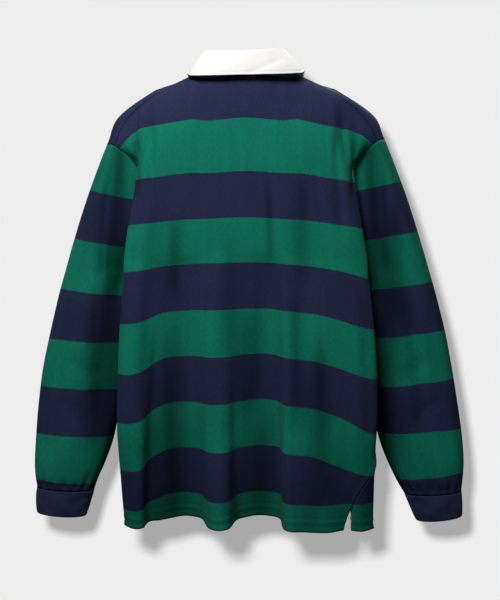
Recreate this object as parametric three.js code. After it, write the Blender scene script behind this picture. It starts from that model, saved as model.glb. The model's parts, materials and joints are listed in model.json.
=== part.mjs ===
// A long-sleeved rugby shirt, hollow, hanging as if held up from inside at the neck and shoulders.
// Millimetres, +Z up. The back of the shirt faces -Y, the wearer's chest +Y, the wearer's right arm is
// at +X, and the origin is inside the neck, where the wearer or a hanger holds the shirt up.
import * as THREE from "three";

// Driving sizes
const CLOTH = 1.6; // heavy jersey
const RIB = 2.4; // doubled rib knit of the cuffs
const TWILL = 1.8; // doubled twill of the collar
const SEAM_GAP = 0.3; // between two sewn edges
const HEM_HEIGHT = -696;
const UNDERARM_HEIGHT = -268;
const HEM_TURN_UP = 24;
const HEM_EXTRA = 0.9; // second layer of the turned hem
const SIDE_DROOP = { left: 14, right: 20, power: 1.8 }; // how far the sides hang below the middle
// A flute that stands out by 1 from the plain back hangs lower by the share, in full from this far below
// the height where the flutes start
const FLUTE_DROOP = { share: 0.12, plain: -66, full: 300 };
const VENT = { height: 42, opening: 6.5 };
const NECK = { out: 86, back: 52, front: 66, seamTurn: 74, backHeight: 37, sideHeight: 40, frontDrop: 74 };
const CENTRE_COLUMNS = 0.5; // share of each half panel's columns that end at the neck
const STAND = { back: 32, sideExtra: 5, front: 18, lean: 0.77, shift: -4, deep: 0.94 };
const PLACKET = { half: 16, top: -42, bottom: -186, thick: 2.2 };
const BUTTON = { radius: 7.5, thick: 2.6, heights: [-64, -112, -160] };
const TAPE = { width: 7, thick: 1.1, show: 1.2, gap: 0.8, foot: 3, below: 2 };

// Outline of the body at each height: the left and right side folds as seen from behind, the deepest
// point of the tuck where each sleeve nests, and the side folds of the front
const OUTLINE = [
  { z: 10, left: 165, right: 160, tuck: 158, front: 150 },
  { z: -57, left: 171, right: 161, tuck: 158, front: 156 },
  { z: -110, left: 177, right: 172, tuck: 158, front: 162 },
  { z: -170, left: 186, right: 184, tuck: 158, front: 170 },
  { z: -240, left: 199, right: 196, tuck: 158, front: 178 },
  { z: -330, left: 206, right: 209, tuck: 163, front: 187 },
  { z: -430, left: 210, right: 215, tuck: 174, front: 192 },
  { z: -550, left: 210, right: 215, tuck: 184, front: 194 },
  { z: -630, left: 205, right: 211, tuck: 186, front: 194 },
  { z: -700, left: 200, right: 211, tuck: 178, front: 190 },
  { z: -740, left: 199, right: 211, tuck: 176, front: 190 },
];

// Depth of the back across its width, from side fold (-1) to side fold (1): nearly plain at the chest,
// three long flutes at the hem
const BACK_FOLDS = [
  { across: -1, chest: -47, middle: -63, hem: -42 },
  { across: -0.9, chest: -61, middle: -82, hem: -64 },
  { across: -0.84, chest: -63, middle: -78, hem: -66 },
  { across: -0.76, chest: -65, middle: -60, hem: -46 },
  { across: -0.62, chest: -66, middle: -53, hem: -38 },
  { across: -0.43, chest: -66, middle: -54, hem: -38 },
  { across: -0.36, chest: -66, middle: -62, hem: -54 },
  { across: -0.3, chest: -67, middle: -75, hem: -86 },
  { across: -0.13, chest: -67, middle: -77, hem: -90 },
  { across: -0.06, chest: -67, middle: -64, hem: -58 },
  { across: 0.01, chest: -67, middle: -56, hem: -46 },
  { across: 0.19, chest: -67, middle: -52, hem: -42 },
  { across: 0.25, chest: -67, middle: -62, hem: -58 },
  { across: 0.3, chest: -68, middle: -78, hem: -89 },
  { across: 0.45, chest: -68, middle: -83, hem: -95 },
  { across: 0.62, chest: -67, middle: -82, hem: -88 },
  { across: 0.76, chest: -65, middle: -78, hem: -69 },
  { across: 0.9, chest: -60, middle: -75, hem: -64 },
  { across: 1, chest: -46, middle: -60, hem: -42 },
];

// Depth of the front across its width
const FRONT_FOLDS = [
  { across: 1, chest: 46, middle: 46, hem: 34 },
  { across: 0.88, chest: 60, middle: 66, hem: 56 },
  { across: 0.7, chest: 67, middle: 76, hem: 70 },
  { across: 0.56, chest: 69, middle: 62, hem: 46 },
  { across: 0.38, chest: 70, middle: 50, hem: 30 },
  { across: 0.28, chest: 70, middle: 56, hem: 44 },
  { across: 0.18, chest: 71, middle: 76, hem: 74 },
  { across: 0, chest: 71, middle: 80, hem: 79 },
  { across: -0.2, chest: 71, middle: 73, hem: 66 },
  { across: -0.32, chest: 70, middle: 56, hem: 38 },
  { across: -0.5, chest: 69, middle: 52, hem: 32 },
  { across: -0.6, chest: 69, middle: 62, hem: 50 },
  { across: -0.75, chest: 66, middle: 75, hem: 68 },
  { across: -0.9, chest: 59, middle: 64, hem: 54 },
  { across: -1, chest: 46, middle: 46, hem: 34 },
];
const FOLDS = { start: -180, middle: -540, hem: -696 };
// Where each side fold turns inward to the tuck under the sleeve: its place between the two, its depth
// at the back and at the front, and the depth of the seam in the tuck
const TUCK = { share: 0.3, back: -30, front: 34, seam: 4 };

// The left armhole from the underarm up the back to the end of the shoulder seam, and up the front.
// The right one is its mirror image, a little higher at the tip.
const ARMHOLE_BACK = [
  { rise: 0, out: 158, y: 4, z: -268 },
  { rise: 0.17, out: 157, y: 0, z: -224 },
  { rise: 0.34, out: 159, y: -8, z: -180 },
  { rise: 0.5, out: 168, y: -18, z: -140 },
  { rise: 0.64, out: 188, y: -27, z: -107 },
  { rise: 0.76, out: 208, y: -29, z: -90 },
  { rise: 1, out: 225, y: -18, z: -80 },
];
const ARMHOLE_FRONT = [
  { rise: 0, out: 158, y: 4, z: -268 },
  { rise: 0.16, out: 158, y: 20, z: -212 },
  { rise: 0.34, out: 168, y: 33, z: -162 },
  { rise: 0.54, out: 186, y: 40, z: -124 },
  { rise: 0.7, out: 208, y: 37, z: -101 },
  { rise: 0.86, out: 228, y: 24, z: -87 },
  { rise: 0.94, out: 235, y: 2, z: -80 },
  { rise: 1, out: 225, y: -18, z: -80 },
];
const RIGHT_TIP_RISE = 8;
const NECK_SPREAD = 20; // how far the front's grain bows outward beside the neck
// How strongly the front climbs over the shoulder before it reaches the seam, and from what rise on
const FRONT_RIDGE = { climb: 0.78, start: 0.6 };
// From what rise on the cloth rolls over the shoulder, and how sharply on each face
const SHOULDER_ROLL = { start: 0.55, power: 2.4, back: 0.5, front: 0.8 };

// Shoulder seam from the neck to the tip of the dropped shoulder
const SHOULDER_SEAM = [
  { along: 0, out: 82.7, y: -14.3, z: 40 },
  { along: 0.14, out: 108, y: -16, z: 27 },
  { along: 0.28, out: 132, y: -17, z: 15.5 },
  { along: 0.45, out: 158, y: -18, z: 3 },
  { along: 0.65, out: 188, y: -19, z: -18 },
  { along: 0.82, out: 209, y: -20, z: -43 },
  { along: 1, out: 225, y: -18, z: -80 },
];
const FOLD_ON_SEAM = 0.47; // where the side fold's column meets the shoulder seam
const TURN_ON_SEAM = 0.75; // where the column between side fold and armhole meets it

// The column between side fold and armhole, above the underarm
const INNER_TURN_BACK = [
  { rise: 0, out: 171, y: -30, z: -268 },
  { rise: 0.25, out: 165, y: -32, z: -202 },
  { rise: 0.5, out: 172, y: -36, z: -142 },
  { rise: 0.75, out: 191, y: -42, z: -80 },
  { rise: 1, out: 201, y: -19.5, z: -32 },
];
const INNER_TURN_FRONT = [
  { rise: 0, out: 165, y: 34, z: -268 },
  { rise: 0.25, out: 164, y: 37, z: -205 },
  { rise: 0.5, out: 176, y: 44, z: -142 },
  { rise: 0.75, out: 199, y: 41, z: -70 },
  { rise: 0.9, out: 211, y: 18, z: -30 },
  { rise: 0.965, out: 209, y: 0, z: -25 },
  { rise: 1, out: 201, y: -19.5, z: -32 },
];

// How far the side seams have drifted along the cloth towards the back on the right, and towards the
// front on the left, at each height
const SEAM_DRIFT = [
  { z: -268, right: 0, left: 0 },
  { z: -430, right: 0, left: 0 },
  { z: -520, right: 22, left: 3 },
  { z: -590, right: 76, left: 6 },
  { z: -640, right: 112, left: 8 },
  { z: -700, right: 128, left: 10 },
  { z: -740, right: 128, left: 10 },
];

const DRIFT_SHARE = 0.5; // share of a panel's width that takes up the drift of its seam

// Sleeve and cuff sections: outer and inner edge as seen from behind, middle and half of the depth,
// and how much higher the outer end lies than the inner end
const SLEEVE_SECTIONS = {
  left: [
    { z: -345, outer: 318, inner: 188, y: 9, half: 43, tilt: 14 },
    { z: -400, outer: 331, inner: 197, y: 9, half: 41, tilt: 10 },
    { z: -460, outer: 343.5, inner: 206, y: 9, half: 39, tilt: 8 },
    { z: -520, outer: 351, inner: 214, y: 8, half: 36, tilt: 6 },
    { z: -580, outer: 355.5, inner: 226, y: 7, half: 33, tilt: 5 },
    { z: -620, outer: 357, inner: 241, y: 6, half: 31, tilt: 5 },
    { z: -645, outer: 355.5, inner: 252, y: 5, half: 28, tilt: 5 },
    { z: -659, outer: 353, inner: 256.5, y: 5, half: 25, tilt: 5 },
  ],
  right: [
    { z: -345, outer: 323, inner: 190, y: 9, half: 43, tilt: 14 },
    { z: -400, outer: 337, inner: 199, y: 9, half: 41, tilt: 10 },
    { z: -460, outer: 348.5, inner: 206, y: 9, half: 39, tilt: 8 },
    { z: -520, outer: 358, inner: 214, y: 8, half: 36, tilt: 6 },
    { z: -580, outer: 366, inner: 227, y: 7, half: 33, tilt: 5 },
    { z: -620, outer: 368, inner: 243, y: 6, half: 31, tilt: 5 },
    { z: -648, outer: 366, inner: 257, y: 5, half: 28, tilt: 5 },
    { z: -666, outer: 364, inner: 268, y: 5, half: 25, tilt: 5 },
  ],
};
const CUFF_SECTIONS = {
  left: [
    { z: -659.5, outer: 353, inner: 256.5, y: 5, half: 25, tilt: 5 },
    { z: -672, outer: 353.5, inner: 261, y: 5, half: 25, tilt: 5 },
    { z: -688, outer: 353.5, inner: 266, y: 5, half: 24.5, tilt: 5 },
    { z: -702, outer: 353, inner: 270, y: 5, half: 24, tilt: 6 },
  ],
  right: [
    { z: -666.5, outer: 364, inner: 268, y: 5, half: 25, tilt: 5 },
    { z: -680, outer: 364, inner: 275, y: 5, half: 25, tilt: 6 },
    { z: -696, outer: 364.5, inner: 282, y: 5, half: 24.5, tilt: 7 },
    { z: -709, outer: 365, inner: 287.5, y: 5, half: 24, tilt: 8 },
  ],
};

// Long soft folds of each sleeve: place round the section (0 inner edge, 0.25 back, 0.5 outer edge),
// width as a share of the way round, depth inward, and the heights it fades between
const SLEEVE_FOLDS = {
  left: [
    { round: 0.17, width: 0.07, depth: 7, from: -150, to: -560 },
    { round: 0.36, width: 0.06, depth: 5, from: -240, to: -640 },
    { round: 0.72, width: 0.08, depth: 7, from: -180, to: -600 },
  ],
  right: [
    { round: 0.16, width: 0.07, depth: 6, from: -170, to: -520 },
    { round: 0.3, width: 0.06, depth: 6, from: -200, to: -640 },
    { round: 0.74, width: 0.08, depth: 7, from: -180, to: -600 },
  ],
};
const SLEEVE_BULGE = 6; // how far the upper sleeve bows outward
const SLEEVE_CLEAR = 5; // how far its inner side keeps away from the body

// Outer edge of the collar leaf: turn from the middle of the back (0) to the front (180), distance
// out, depth and height
const COLLAR_EDGE = [
  { turn: 0, out: 0, y: -70, z: 31 },
  { turn: 30, out: 55, y: -65, z: 31.5 },
  { turn: 60, out: 92, y: -42, z: 35 },
  { turn: 85, out: 99, y: -8, z: 42 },
  { turn: 105, out: 99, y: 28, z: 40 },
  { turn: 125, out: 92, y: 60, z: 12 },
  { turn: 150, out: 66, y: 77, z: -42 },
  { turn: 176, out: 38, y: 84, z: -72 },
];
const COLLAR_SLOPE = 0.022; // the collar sits a little higher on the right
const COLLAR_FRONT_TURN = 176;

// Numbers of steps along each piece
const STEPS = {
  shoulder: 10,
  neck: 18,
  below: 11,
  above: 13,
  sleeve: { upper: 7, lower: 8 },
  cuff: { round: 26, down: 3 },
  collar: 7,
  stand: 2,
};

const mix = (a, b, t) => a + (b - a) * t;
const clamp = (t) => Math.min(1, Math.max(0, t));
const ease = (t) => clamp(t) * clamp(t) * (3 - 2 * clamp(t));
const point = (x, y, z) => new THREE.Vector3(x, y, z);

// Smooth curve through a table's rows: the value of one column where the key column has a value
function read(rows, key, at, column) {
  const down = rows[rows.length - 1][key] < rows[0][key];
  const k = rows.map((row) => (down ? -row[key] : row[key]));
  const v = rows.map((row) => row[column]);
  const x = Math.min(k[k.length - 1], Math.max(k[0], down ? -at : at));
  let i = 0;
  while (i < k.length - 2 && x > k[i + 1]) {
    i += 1;
  }
  const slope = (j) => (v[j + 1] - v[j]) / (k[j + 1] - k[j]);
  const tangent = (j) => {
    if (j === 0) {
      return slope(0);
    }
    if (j === k.length - 1) {
      return slope(j - 1);
    }
    const before = k[j] - k[j - 1];
    const after = k[j + 1] - k[j];
    return (slope(j - 1) * after + slope(j) * before) / (before + after);
  };
  const span = k[i + 1] - k[i];
  const t = (x - k[i]) / span;
  const a = v[i];
  const b = v[i + 1];
  const c = tangent(i) * span;
  const d = tangent(i + 1) * span;
  return a + c * t + (3 * (b - a) - 2 * c - d) * t * t + (2 * (a - b) + c + d) * t * t * t;
}

// Depth of a fold column at a height, and how far it then hangs below the middle
function foldDepth(fold, z) {
  if (z > FOLDS.start) {
    return fold.chest;
  }
  if (z > FOLDS.middle) {
    return mix(fold.chest, fold.middle, ease((FOLDS.start - z) / (FOLDS.start - FOLDS.middle)));
  }
  return mix(fold.middle, fold.hem, clamp((FOLDS.middle - z) / (FOLDS.middle - FOLDS.hem)));
}
function droop(across, depth, z) {
  const side = across < 0 ? SIDE_DROOP.left : SIDE_DROOP.right;
  const standsOut = Math.abs(depth) + FLUTE_DROOP.plain;
  const flute = FLUTE_DROOP.share * standsOut * ease((FOLDS.start - z) / FLUTE_DROOP.full);
  return side * Math.abs(across) ** SIDE_DROOP.power + flute;
}

// One level of the body below the underarm, as columns from the left seam round the back to the
// right seam, and from there round the front
function backLevel(z) {
  const at = (column) => read(OUTLINE, "z", z, column);
  const left = at("left");
  const right = at("right");
  const tuck = at("tuck");
  const columns = [point(-tuck, TUCK.seam, z - SIDE_DROOP.left)];
  columns.push(point(-mix(tuck, left, TUCK.share), TUCK.back, z - SIDE_DROOP.left));
  for (const fold of BACK_FOLDS) {
    const x = fold.across * (fold.across < 0 ? left : right);
    const y = foldDepth(fold, z);
    columns.push(point(x, y, z - droop(fold.across, y, z)));
  }
  columns.push(point(mix(tuck, right, TUCK.share), TUCK.back, z - SIDE_DROOP.right));
  columns.push(point(tuck, TUCK.seam, z - SIDE_DROOP.right));
  return columns;
}
function frontLevel(z) {
  const at = (column) => read(OUTLINE, "z", z, column);
  const edge = at("front");
  const tuck = at("tuck");
  const columns = [point(tuck, TUCK.seam, z - SIDE_DROOP.right)];
  columns.push(point(mix(tuck, edge, TUCK.share), TUCK.front, z - SIDE_DROOP.right));
  for (const fold of FRONT_FOLDS) {
    const y = foldDepth(fold, z);
    columns.push(point(fold.across * edge, y, z - droop(fold.across, y, z)));
  }
  columns.push(point(-mix(tuck, edge, TUCK.share), TUCK.front, z - SIDE_DROOP.left));
  columns.push(point(-tuck, TUCK.seam, z - SIDE_DROOP.left));
  return columns;
}

// Points of the armhole, the shoulder seam and the neckline on one side (-1 left, 1 right)
function armhole(side, rows, rise) {
  const z = read(rows, "rise", rise, "z");
  const lift = side > 0 ? RIGHT_TIP_RISE * ease(rise) : 0;
  const lower = side > 0 ? SIDE_DROOP.right : SIDE_DROOP.left;
  const out = read(rows, "rise", rise, "out");
  return point(side * out, read(rows, "rise", rise, "y"), z + lift - lower * (1 - ease(rise / 0.5)));
}
function shoulderSeam(side, along) {
  const at = (column) => read(SHOULDER_SEAM, "along", along, column);
  const lift = side > 0 ? RIGHT_TIP_RISE * along ** 4 : 0;
  return point(side * at("out"), at("y"), at("z") + lift);
}
function neckline(turn) {
  const angle = THREE.MathUtils.degToRad(turn);
  const c = Math.cos(angle);
  const depth = c > 0 ? -NECK.back * c : -NECK.front * c;
  const rise = mix(NECK.sideHeight, NECK.backHeight, Math.max(0, c));
  const drop = NECK.frontDrop * Math.max(0, -c) ** 1.6;
  return point(NECK.out * Math.sin(angle), depth, rise - drop);
}
// Top edge of a panel at a share of its half width: the shoulder seam outside, the neckline inside
function topEdge(across, middleTurn) {
  const side = Math.sign(across) || 1;
  const share = Math.abs(across);
  if (share >= CENTRE_COLUMNS) {
    const along = mix(0, FOLD_ON_SEAM, (share - CENTRE_COLUMNS) / (1 - CENTRE_COLUMNS));
    return shoulderSeam(side, along);
  }
  const turn = mix(middleTurn, NECK.seamTurn, share / CENTRE_COLUMNS);
  return neckline(side * turn);
}

// One level of a panel above the underarm: rise 0 at the underarm, 1 at the shoulder and neck
function upperLevel(rise, face) {
  const back = face === "back";
  const base = back ? backLevel(UNDERARM_HEIGHT) : frontLevel(UNDERARM_HEIGHT);
  const folds = back ? BACK_FOLDS : FRONT_FOLDS;
  const rows = back ? ARMHOLE_BACK : ARMHOLE_FRONT;
  const turnRows = back ? INNER_TURN_BACK : INNER_TURN_FRONT;
  const middleTurn = back ? 0 : 180;
  const rolling = clamp((rise - SHOULDER_ROLL.start) / (1 - SHOULDER_ROLL.start));
  const roll = Math.max(0, 1 - rolling ** SHOULDER_ROLL.power) ** SHOULDER_ROLL[face];
  const ridge = clamp((rise - FRONT_RIDGE.start) / (1 - FRONT_RIDGE.start));
  const climb = back ? rise : rise + FRONT_RIDGE.climb * ridge * ridge * (1 - ridge);
  const innerTurn = (side) => {
    const at = (column) => read(turnRows, "rise", rise, column);
    const lower = (side > 0 ? SIDE_DROOP.right : SIDE_DROOP.left) * (1 - ease(rise / 0.5));
    const start = base[side < 0 === back ? 1 : base.length - 2];
    const off = side * start.x - turnRows[0].out;
    const lift = side > 0 ? RIGHT_TIP_RISE * 0.32 * ease(rise) : 0;
    return point(side * (at("out") + off * (1 - ease(rise / 0.4))), at("y"), at("z") - lower + lift);
  };
  const order = back ? [-1, 1] : [1, -1];
  const columns = [armhole(order[0], rows, rise), innerTurn(order[0])];
  folds.forEach((fold, i) => {
    const low = base[i + 2];
    const top = topEdge(fold.across, middleTurn);
    const z = mix(low.z, top.z, mix(rise, climb, ease((Math.abs(fold.across) - CENTRE_COLUMNS) / 0.35)));
    const edge = read(OUTLINE, "z", z, back ? (fold.across < 0 ? "left" : "right") : "front");
    const below = clamp((1 - rise) / 0.35);
    const nearNeck = 1 - Math.abs(Math.abs(fold.across) - CENTRE_COLUMNS) / CENTRE_COLUMNS;
    const spread = back ? 0 : Math.sign(fold.across) * NECK_SPREAD * nearNeck * 4 * below * (1 - below);
    const x = mix(fold.across * edge, top.x, ease((rise - 0.5) / 0.5)) + spread;
    columns.push(point(x, mix(top.y, fold.chest, roll), z));
  });
  columns.push(innerTurn(order[1]), armhole(order[1], rows, rise));
  return columns;
}

// Cloth distances between the columns, measured once where the body has half of its flutes
function knotsOf(columns) {
  const knots = [0];
  for (let i = 1; i < columns.length; i += 1) {
    knots.push(knots[i - 1] + Math.max(9, columns[i].distanceTo(columns[i - 1])));
  }
  return knots;
}
const BODY_KNOTS = {
  back: knotsOf(backLevel(-480)),
  front: knotsOf(frontLevel(-480)),
};
function through(columns, knots, at) {
  const rows = columns.map((c, i) => ({ k: knots[i], x: c.x, y: c.y, z: c.z }));
  const values = ["x", "y", "z"].map((name) => read(rows, "k", at, name));
  return point(values[0], values[1], values[2]);
}
// The whole ring below the underarm, so that a seam may lie anywhere round it
const BACK_LENGTH = BODY_KNOTS.back[BODY_KNOTS.back.length - 1];
const FRONT_LENGTH = BODY_KNOTS.front[BODY_KNOTS.front.length - 1];
const RING_LENGTH = BACK_LENGTH + FRONT_LENGTH;
function ringPoint(z, at) {
  const wrapped = ((at % RING_LENGTH) + RING_LENGTH) % RING_LENGTH;
  const back = backLevel(z);
  const front = frontLevel(z);
  const columns = [front[front.length - 2], ...back, ...front.slice(1), back[1]];
  const knots = [BODY_KNOTS.front[front.length - 2] - FRONT_LENGTH, ...BODY_KNOTS.back];
  BODY_KNOTS.front.slice(1).forEach((k) => knots.push(k + BACK_LENGTH));
  knots.push(RING_LENGTH + BODY_KNOTS.back[1]);
  return through(columns, knots, wrapped);
}

// A panel's point: across 0 to 1 from its first seam to its second, level 0 at the hem, 1 at the
// underarm, 2 at the shoulder
function panelPoint(face, across, level) {
  const back = face === "back";
  if (level > 1) {
    const knots = BODY_KNOTS[face];
    return through(upperLevel(level - 1, face), knots, across * knots[knots.length - 1]);
  }
  const z = mix(HEM_HEIGHT, UNDERARM_HEIGHT, level);
  const right = read(SEAM_DRIFT, "z", z, "right");
  const left = read(SEAM_DRIFT, "z", z, "left");
  const open = VENT.opening * clamp(1 - (z - HEM_HEIGHT) / VENT.height);
  const atStart = ease(1 - across / DRIFT_SHARE);
  const atEnd = ease(1 - (1 - across) / DRIFT_SHARE);
  if (back) {
    return ringPoint(z, across * BACK_LENGTH + (open - left) * atStart - (right + open) * atEnd);
  }
  return ringPoint(z, BACK_LENGTH + across * FRONT_LENGTH + (open - right) * atStart - (left + open) * atEnd);
}
function normalOf(surface, a, b, step) {
  const lowA = Math.max(0, a - step);
  const highA = Math.min(1, a + step);
  const acrossWay = surface(highA, b).sub(surface(lowA, b));
  const upWay = surface(a, Math.min(2, b + step)).sub(surface(a, Math.max(0, b - step)));
  return acrossWay.cross(upWay).normalize();
}

// A closed wall from a grid of outer points and normals: outer face, inner face and rims
function wall(outer, normals, thickness, closedRound) {
  const rows = outer.length;
  const count = outer[0].length;
  const positions = [];
  const index = [];
  outer.forEach((row) => row.forEach((p) => positions.push(p.x, p.y, p.z)));
  outer.forEach((row, j) => row.forEach((p, i) => {
    const q = p.clone().addScaledVector(normals[j][i], -thickness(j, i));
    positions.push(q.x, q.y, q.z);
  }));
  const at = (j, i, inner) => (inner ? rows * count : 0) + j * count + (i % count);
  const quad = (a, b, c, d) => index.push(a, b, c, a, c, d);
  const spans = closedRound ? count : count - 1;
  for (let j = 0; j < rows - 1; j += 1) {
    for (let i = 0; i < spans; i += 1) {
      quad(at(j, i, false), at(j, i + 1, false), at(j + 1, i + 1, false), at(j + 1, i, false));
      quad(at(j, i, true), at(j + 1, i, true), at(j + 1, i + 1, true), at(j, i + 1, true));
    }
  }
  for (let i = 0; i < spans; i += 1) {
    quad(at(0, i, false), at(0, i, true), at(0, i + 1, true), at(0, i + 1, false));
    const top = rows - 1;
    quad(at(top, i, false), at(top, i + 1, false), at(top, i + 1, true), at(top, i, true));
  }
  if (!closedRound) {
    const end = count - 1;
    for (let j = 0; j < rows - 1; j += 1) {
      quad(at(j, 0, false), at(j + 1, 0, false), at(j + 1, 0, true), at(j, 0, true));
      quad(at(j, end, false), at(j, end, true), at(j + 1, end, true), at(j + 1, end, false));
    }
  }
  const geometry = new THREE.BufferGeometry();
  geometry.setAttribute("position", new THREE.Float32BufferAttribute(positions, 3));
  geometry.setIndex(index);
  geometry.computeVertexNormals();
  return geometry;
}

// Sleeve point: round 0 inner edge, 0.25 back, 0.5 outer edge; down 0 at the armhole, 1 at the first
// plain section, 2 at the cuff
function sectionPoint(sections, side, round, z) {
  const at = (column) => read(sections, "z", z, column);
  const angle = round * 2 * Math.PI;
  const middle = (at("outer") + at("inner")) / 2;
  const half = (at("outer") - at("inner")) / 2;
  const x = middle - half * Math.cos(angle);
  const y = at("y") - at("half") * Math.sin(angle);
  return point(side * x, y, z - (at("tilt") / 2) * Math.cos(angle));
}
function armholeRound(side, round) {
  if (round <= 0.5) {
    return armhole(side, ARMHOLE_BACK, round / 0.5);
  }
  return armhole(side, ARMHOLE_FRONT, (1 - round) / 0.5);
}
function sleevePoint(side, round, down) {
  const name = side < 0 ? "left" : "right";
  const sections = SLEEVE_SECTIONS[name];
  const first = sections[0].z;
  const last = sections[sections.length - 1].z;
  let p = null;
  if (down >= 1) {
    p = sectionPoint(sections, side, round, mix(first, last, down - 1));
  } else {
    const from = armholeRound(side, round);
    const to = sectionPoint(sections, side, round, first);
    p = from.lerp(to, down);
    const facing = -Math.cos(round * 2 * Math.PI);
    p.x += side * (facing > 0 ? SLEEVE_BULGE : -SLEEVE_CLEAR) * facing * 4 * down * (1 - down);
  }
  const angle = round * 2 * Math.PI;
  for (const fold of SLEEVE_FOLDS[name]) {
    const apart = Math.abs(((round - fold.round + 1.5) % 1) - 0.5) / fold.width;
    const along = ease((fold.from - p.z) / 70) * ease((p.z - fold.to) / 70);
    const inward = fold.depth * Math.exp(-apart * apart) * along * ease(down * 2);
    p.x += side * inward * Math.cos(angle);
    p.y += inward * Math.sin(angle);
  }
  return p;
}
const NORMAL_STEP = 0.004; // how far apart the points are from which a normal is found
function sleeveNormal(side, round, down) {
  const roundWay = sleevePoint(side, (round + NORMAL_STEP) % 1, down);
  roundWay.sub(sleevePoint(side, (round - NORMAL_STEP + 1) % 1, down));
  const downWay = sleevePoint(side, round, Math.min(2, down + NORMAL_STEP));
  downWay.sub(sleevePoint(side, round, Math.max(0, down - NORMAL_STEP)));
  return roundWay.cross(downWay).multiplyScalar(-side).normalize();
}

// Seam normals that the pieces on both sides of an armhole share, so that their rims are parallel
function panelNormal(face, across, level) {
  return normalOf((a, b) => panelPoint(face, a, b), across, level, NORMAL_STEP);
}
const UNDERARM = { rise: 0.04, slope: 0.2 }; // the short part of the seam that faces straight down
function armholeNormal(side, round) {
  const face = round <= 0.5 ? "back" : "front";
  const rise = round <= 0.5 ? round / 0.5 : (1 - round) / 0.5;
  if (rise < UNDERARM.rise) {
    return point(-side * UNDERARM.slope, 0, -1).normalize();
  }
  const start = (face === "back") === (side < 0);
  const level = 1 + Math.min(0.99, rise);
  const along = armholeRound(side, round + 0.01).sub(armholeRound(side, round - 0.01)).normalize();
  const square = (way) => way.addScaledVector(along, -way.dot(along)).normalize();
  const seam = panelPoint(face, start ? 0 : 1, level);
  const intoPanel = square(panelPoint(face, start ? 0.012 : 0.988, level).sub(seam));
  const intoSleeve = square(sleevePoint(side, round, 0.04).sub(sleevePoint(side, round, 0)));
  const normal = panelNormal(face, start ? 0 : 1, level).add(sleeveNormal(side, round, 0));
  return normal.add(intoPanel).add(intoSleeve).normalize();
}
// The shoulder seam's normal: square to the seam, tipped a little to the back
function shoulderNormal(side, along) {
  const before = shoulderSeam(side, Math.max(0, along - 0.02));
  const way = shoulderSeam(side, Math.min(1, along + 0.02)).sub(before);
  return way.cross(point(0, 0.9, 0.44)).multiplyScalar(side).normalize();
}
// The side seam's place round the body and the normal there
function sideSeam(side, z) {
  const drift = read(SEAM_DRIFT, "z", z, side < 0 ? "left" : "right");
  return side < 0 ? -drift : BACK_LENGTH - drift;
}
function sideSeamNormal(side, z) {
  const at = sideSeam(side, z);
  const roundWay = ringPoint(z, at + 1).sub(ringPoint(z, at - 1));
  return roundWay.cross(ringPoint(z + 2, at).sub(ringPoint(z - 2, at))).normalize();
}

// Columns of a panel: place along the shoulder seam (1 at the armhole, 0 at the neck) outside the neck,
// place along the neckline inside it, and the share of the panel's width that each has lower down
function panelColumns(face) {
  const knots = BODY_KNOTS[face];
  const total = knots[knots.length - 1];
  const folds = face === "back" ? BACK_FOLDS : FRONT_FOLDS;
  const first = face === "back" ? -1 : 1;
  const foldRows = folds.map((fold, i) => ({ key: first < 0 ? fold.across : -fold.across, knot: knots[i + 2] }));
  const knotOf = (across) => read(foldRows, "key", across, "knot");
  const columns = [];
  const half = [];
  for (let i = 0; i < STEPS.shoulder; i += 1) {
    const along = 1 - i / STEPS.shoulder;
    if (along >= TURN_ON_SEAM) {
      half.push({ along, start: mix(knots[1], 0, (along - TURN_ON_SEAM) / (1 - TURN_ON_SEAM)) });
    } else if (along >= FOLD_ON_SEAM) {
      const t = (along - FOLD_ON_SEAM) / (TURN_ON_SEAM - FOLD_ON_SEAM);
      half.push({ along, start: mix(knots[2], knots[1], t), turn: t });
    } else {
      half.push({ along, share: mix(CENTRE_COLUMNS, 1, along / FOLD_ON_SEAM) });
    }
  }
  const endKnots = { turn: knots[knots.length - 2], fold: knots[knots.length - 3] };
  for (const c of half) {
    const knot = c.share === undefined ? c.start : knotOf(-c.share);
    columns.push({ side: first, along: c.along, at: knot / total });
  }
  for (let i = 0; i <= STEPS.neck; i += 1) {
    const across = mix(-CENTRE_COLUMNS, CENTRE_COLUMNS, i / STEPS.neck);
    const atEnd = i === 0 || i === STEPS.neck;
    const side = i === 0 ? first : -first;
    columns.push({ side, along: atEnd ? 0 : null, across: -first * across, at: knotOf(across) / total });
  }
  for (const c of [...half].reverse()) {
    let knot = 0;
    if (c.share !== undefined) {
      knot = knotOf(c.share);
    } else if (c.turn !== undefined) {
      knot = mix(endKnots.fold, endKnots.turn, c.turn);
    } else {
      knot = mix(endKnots.turn, total, (c.along - TURN_ON_SEAM) / (1 - TURN_ON_SEAM));
    }
    columns.push({ side: -first, along: c.along, at: knot / total });
  }
  return columns;
}

// Steps up the armhole, closer together towards the shoulder
const RISES = [];
for (let j = 0; j <= STEPS.above; j += 1) {
  RISES.push(1 - (1 - j / STEPS.above) ** 1.3);
}
// Levels of both panels: the hem, the top of its turn-up, the top of the vents, and on to the shoulder
const LEVELS = [0, HEM_TURN_UP, VENT.height].map((up) => up / (UNDERARM_HEIGHT - HEM_HEIGHT));
for (let j = 1; j <= STEPS.below; j += 1) {
  LEVELS.push(mix(LEVELS[2], 1, j / STEPS.below));
}
for (let j = 1; j <= STEPS.above; j += 1) {
  LEVELS.push(1 + RISES[j]);
}

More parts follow.
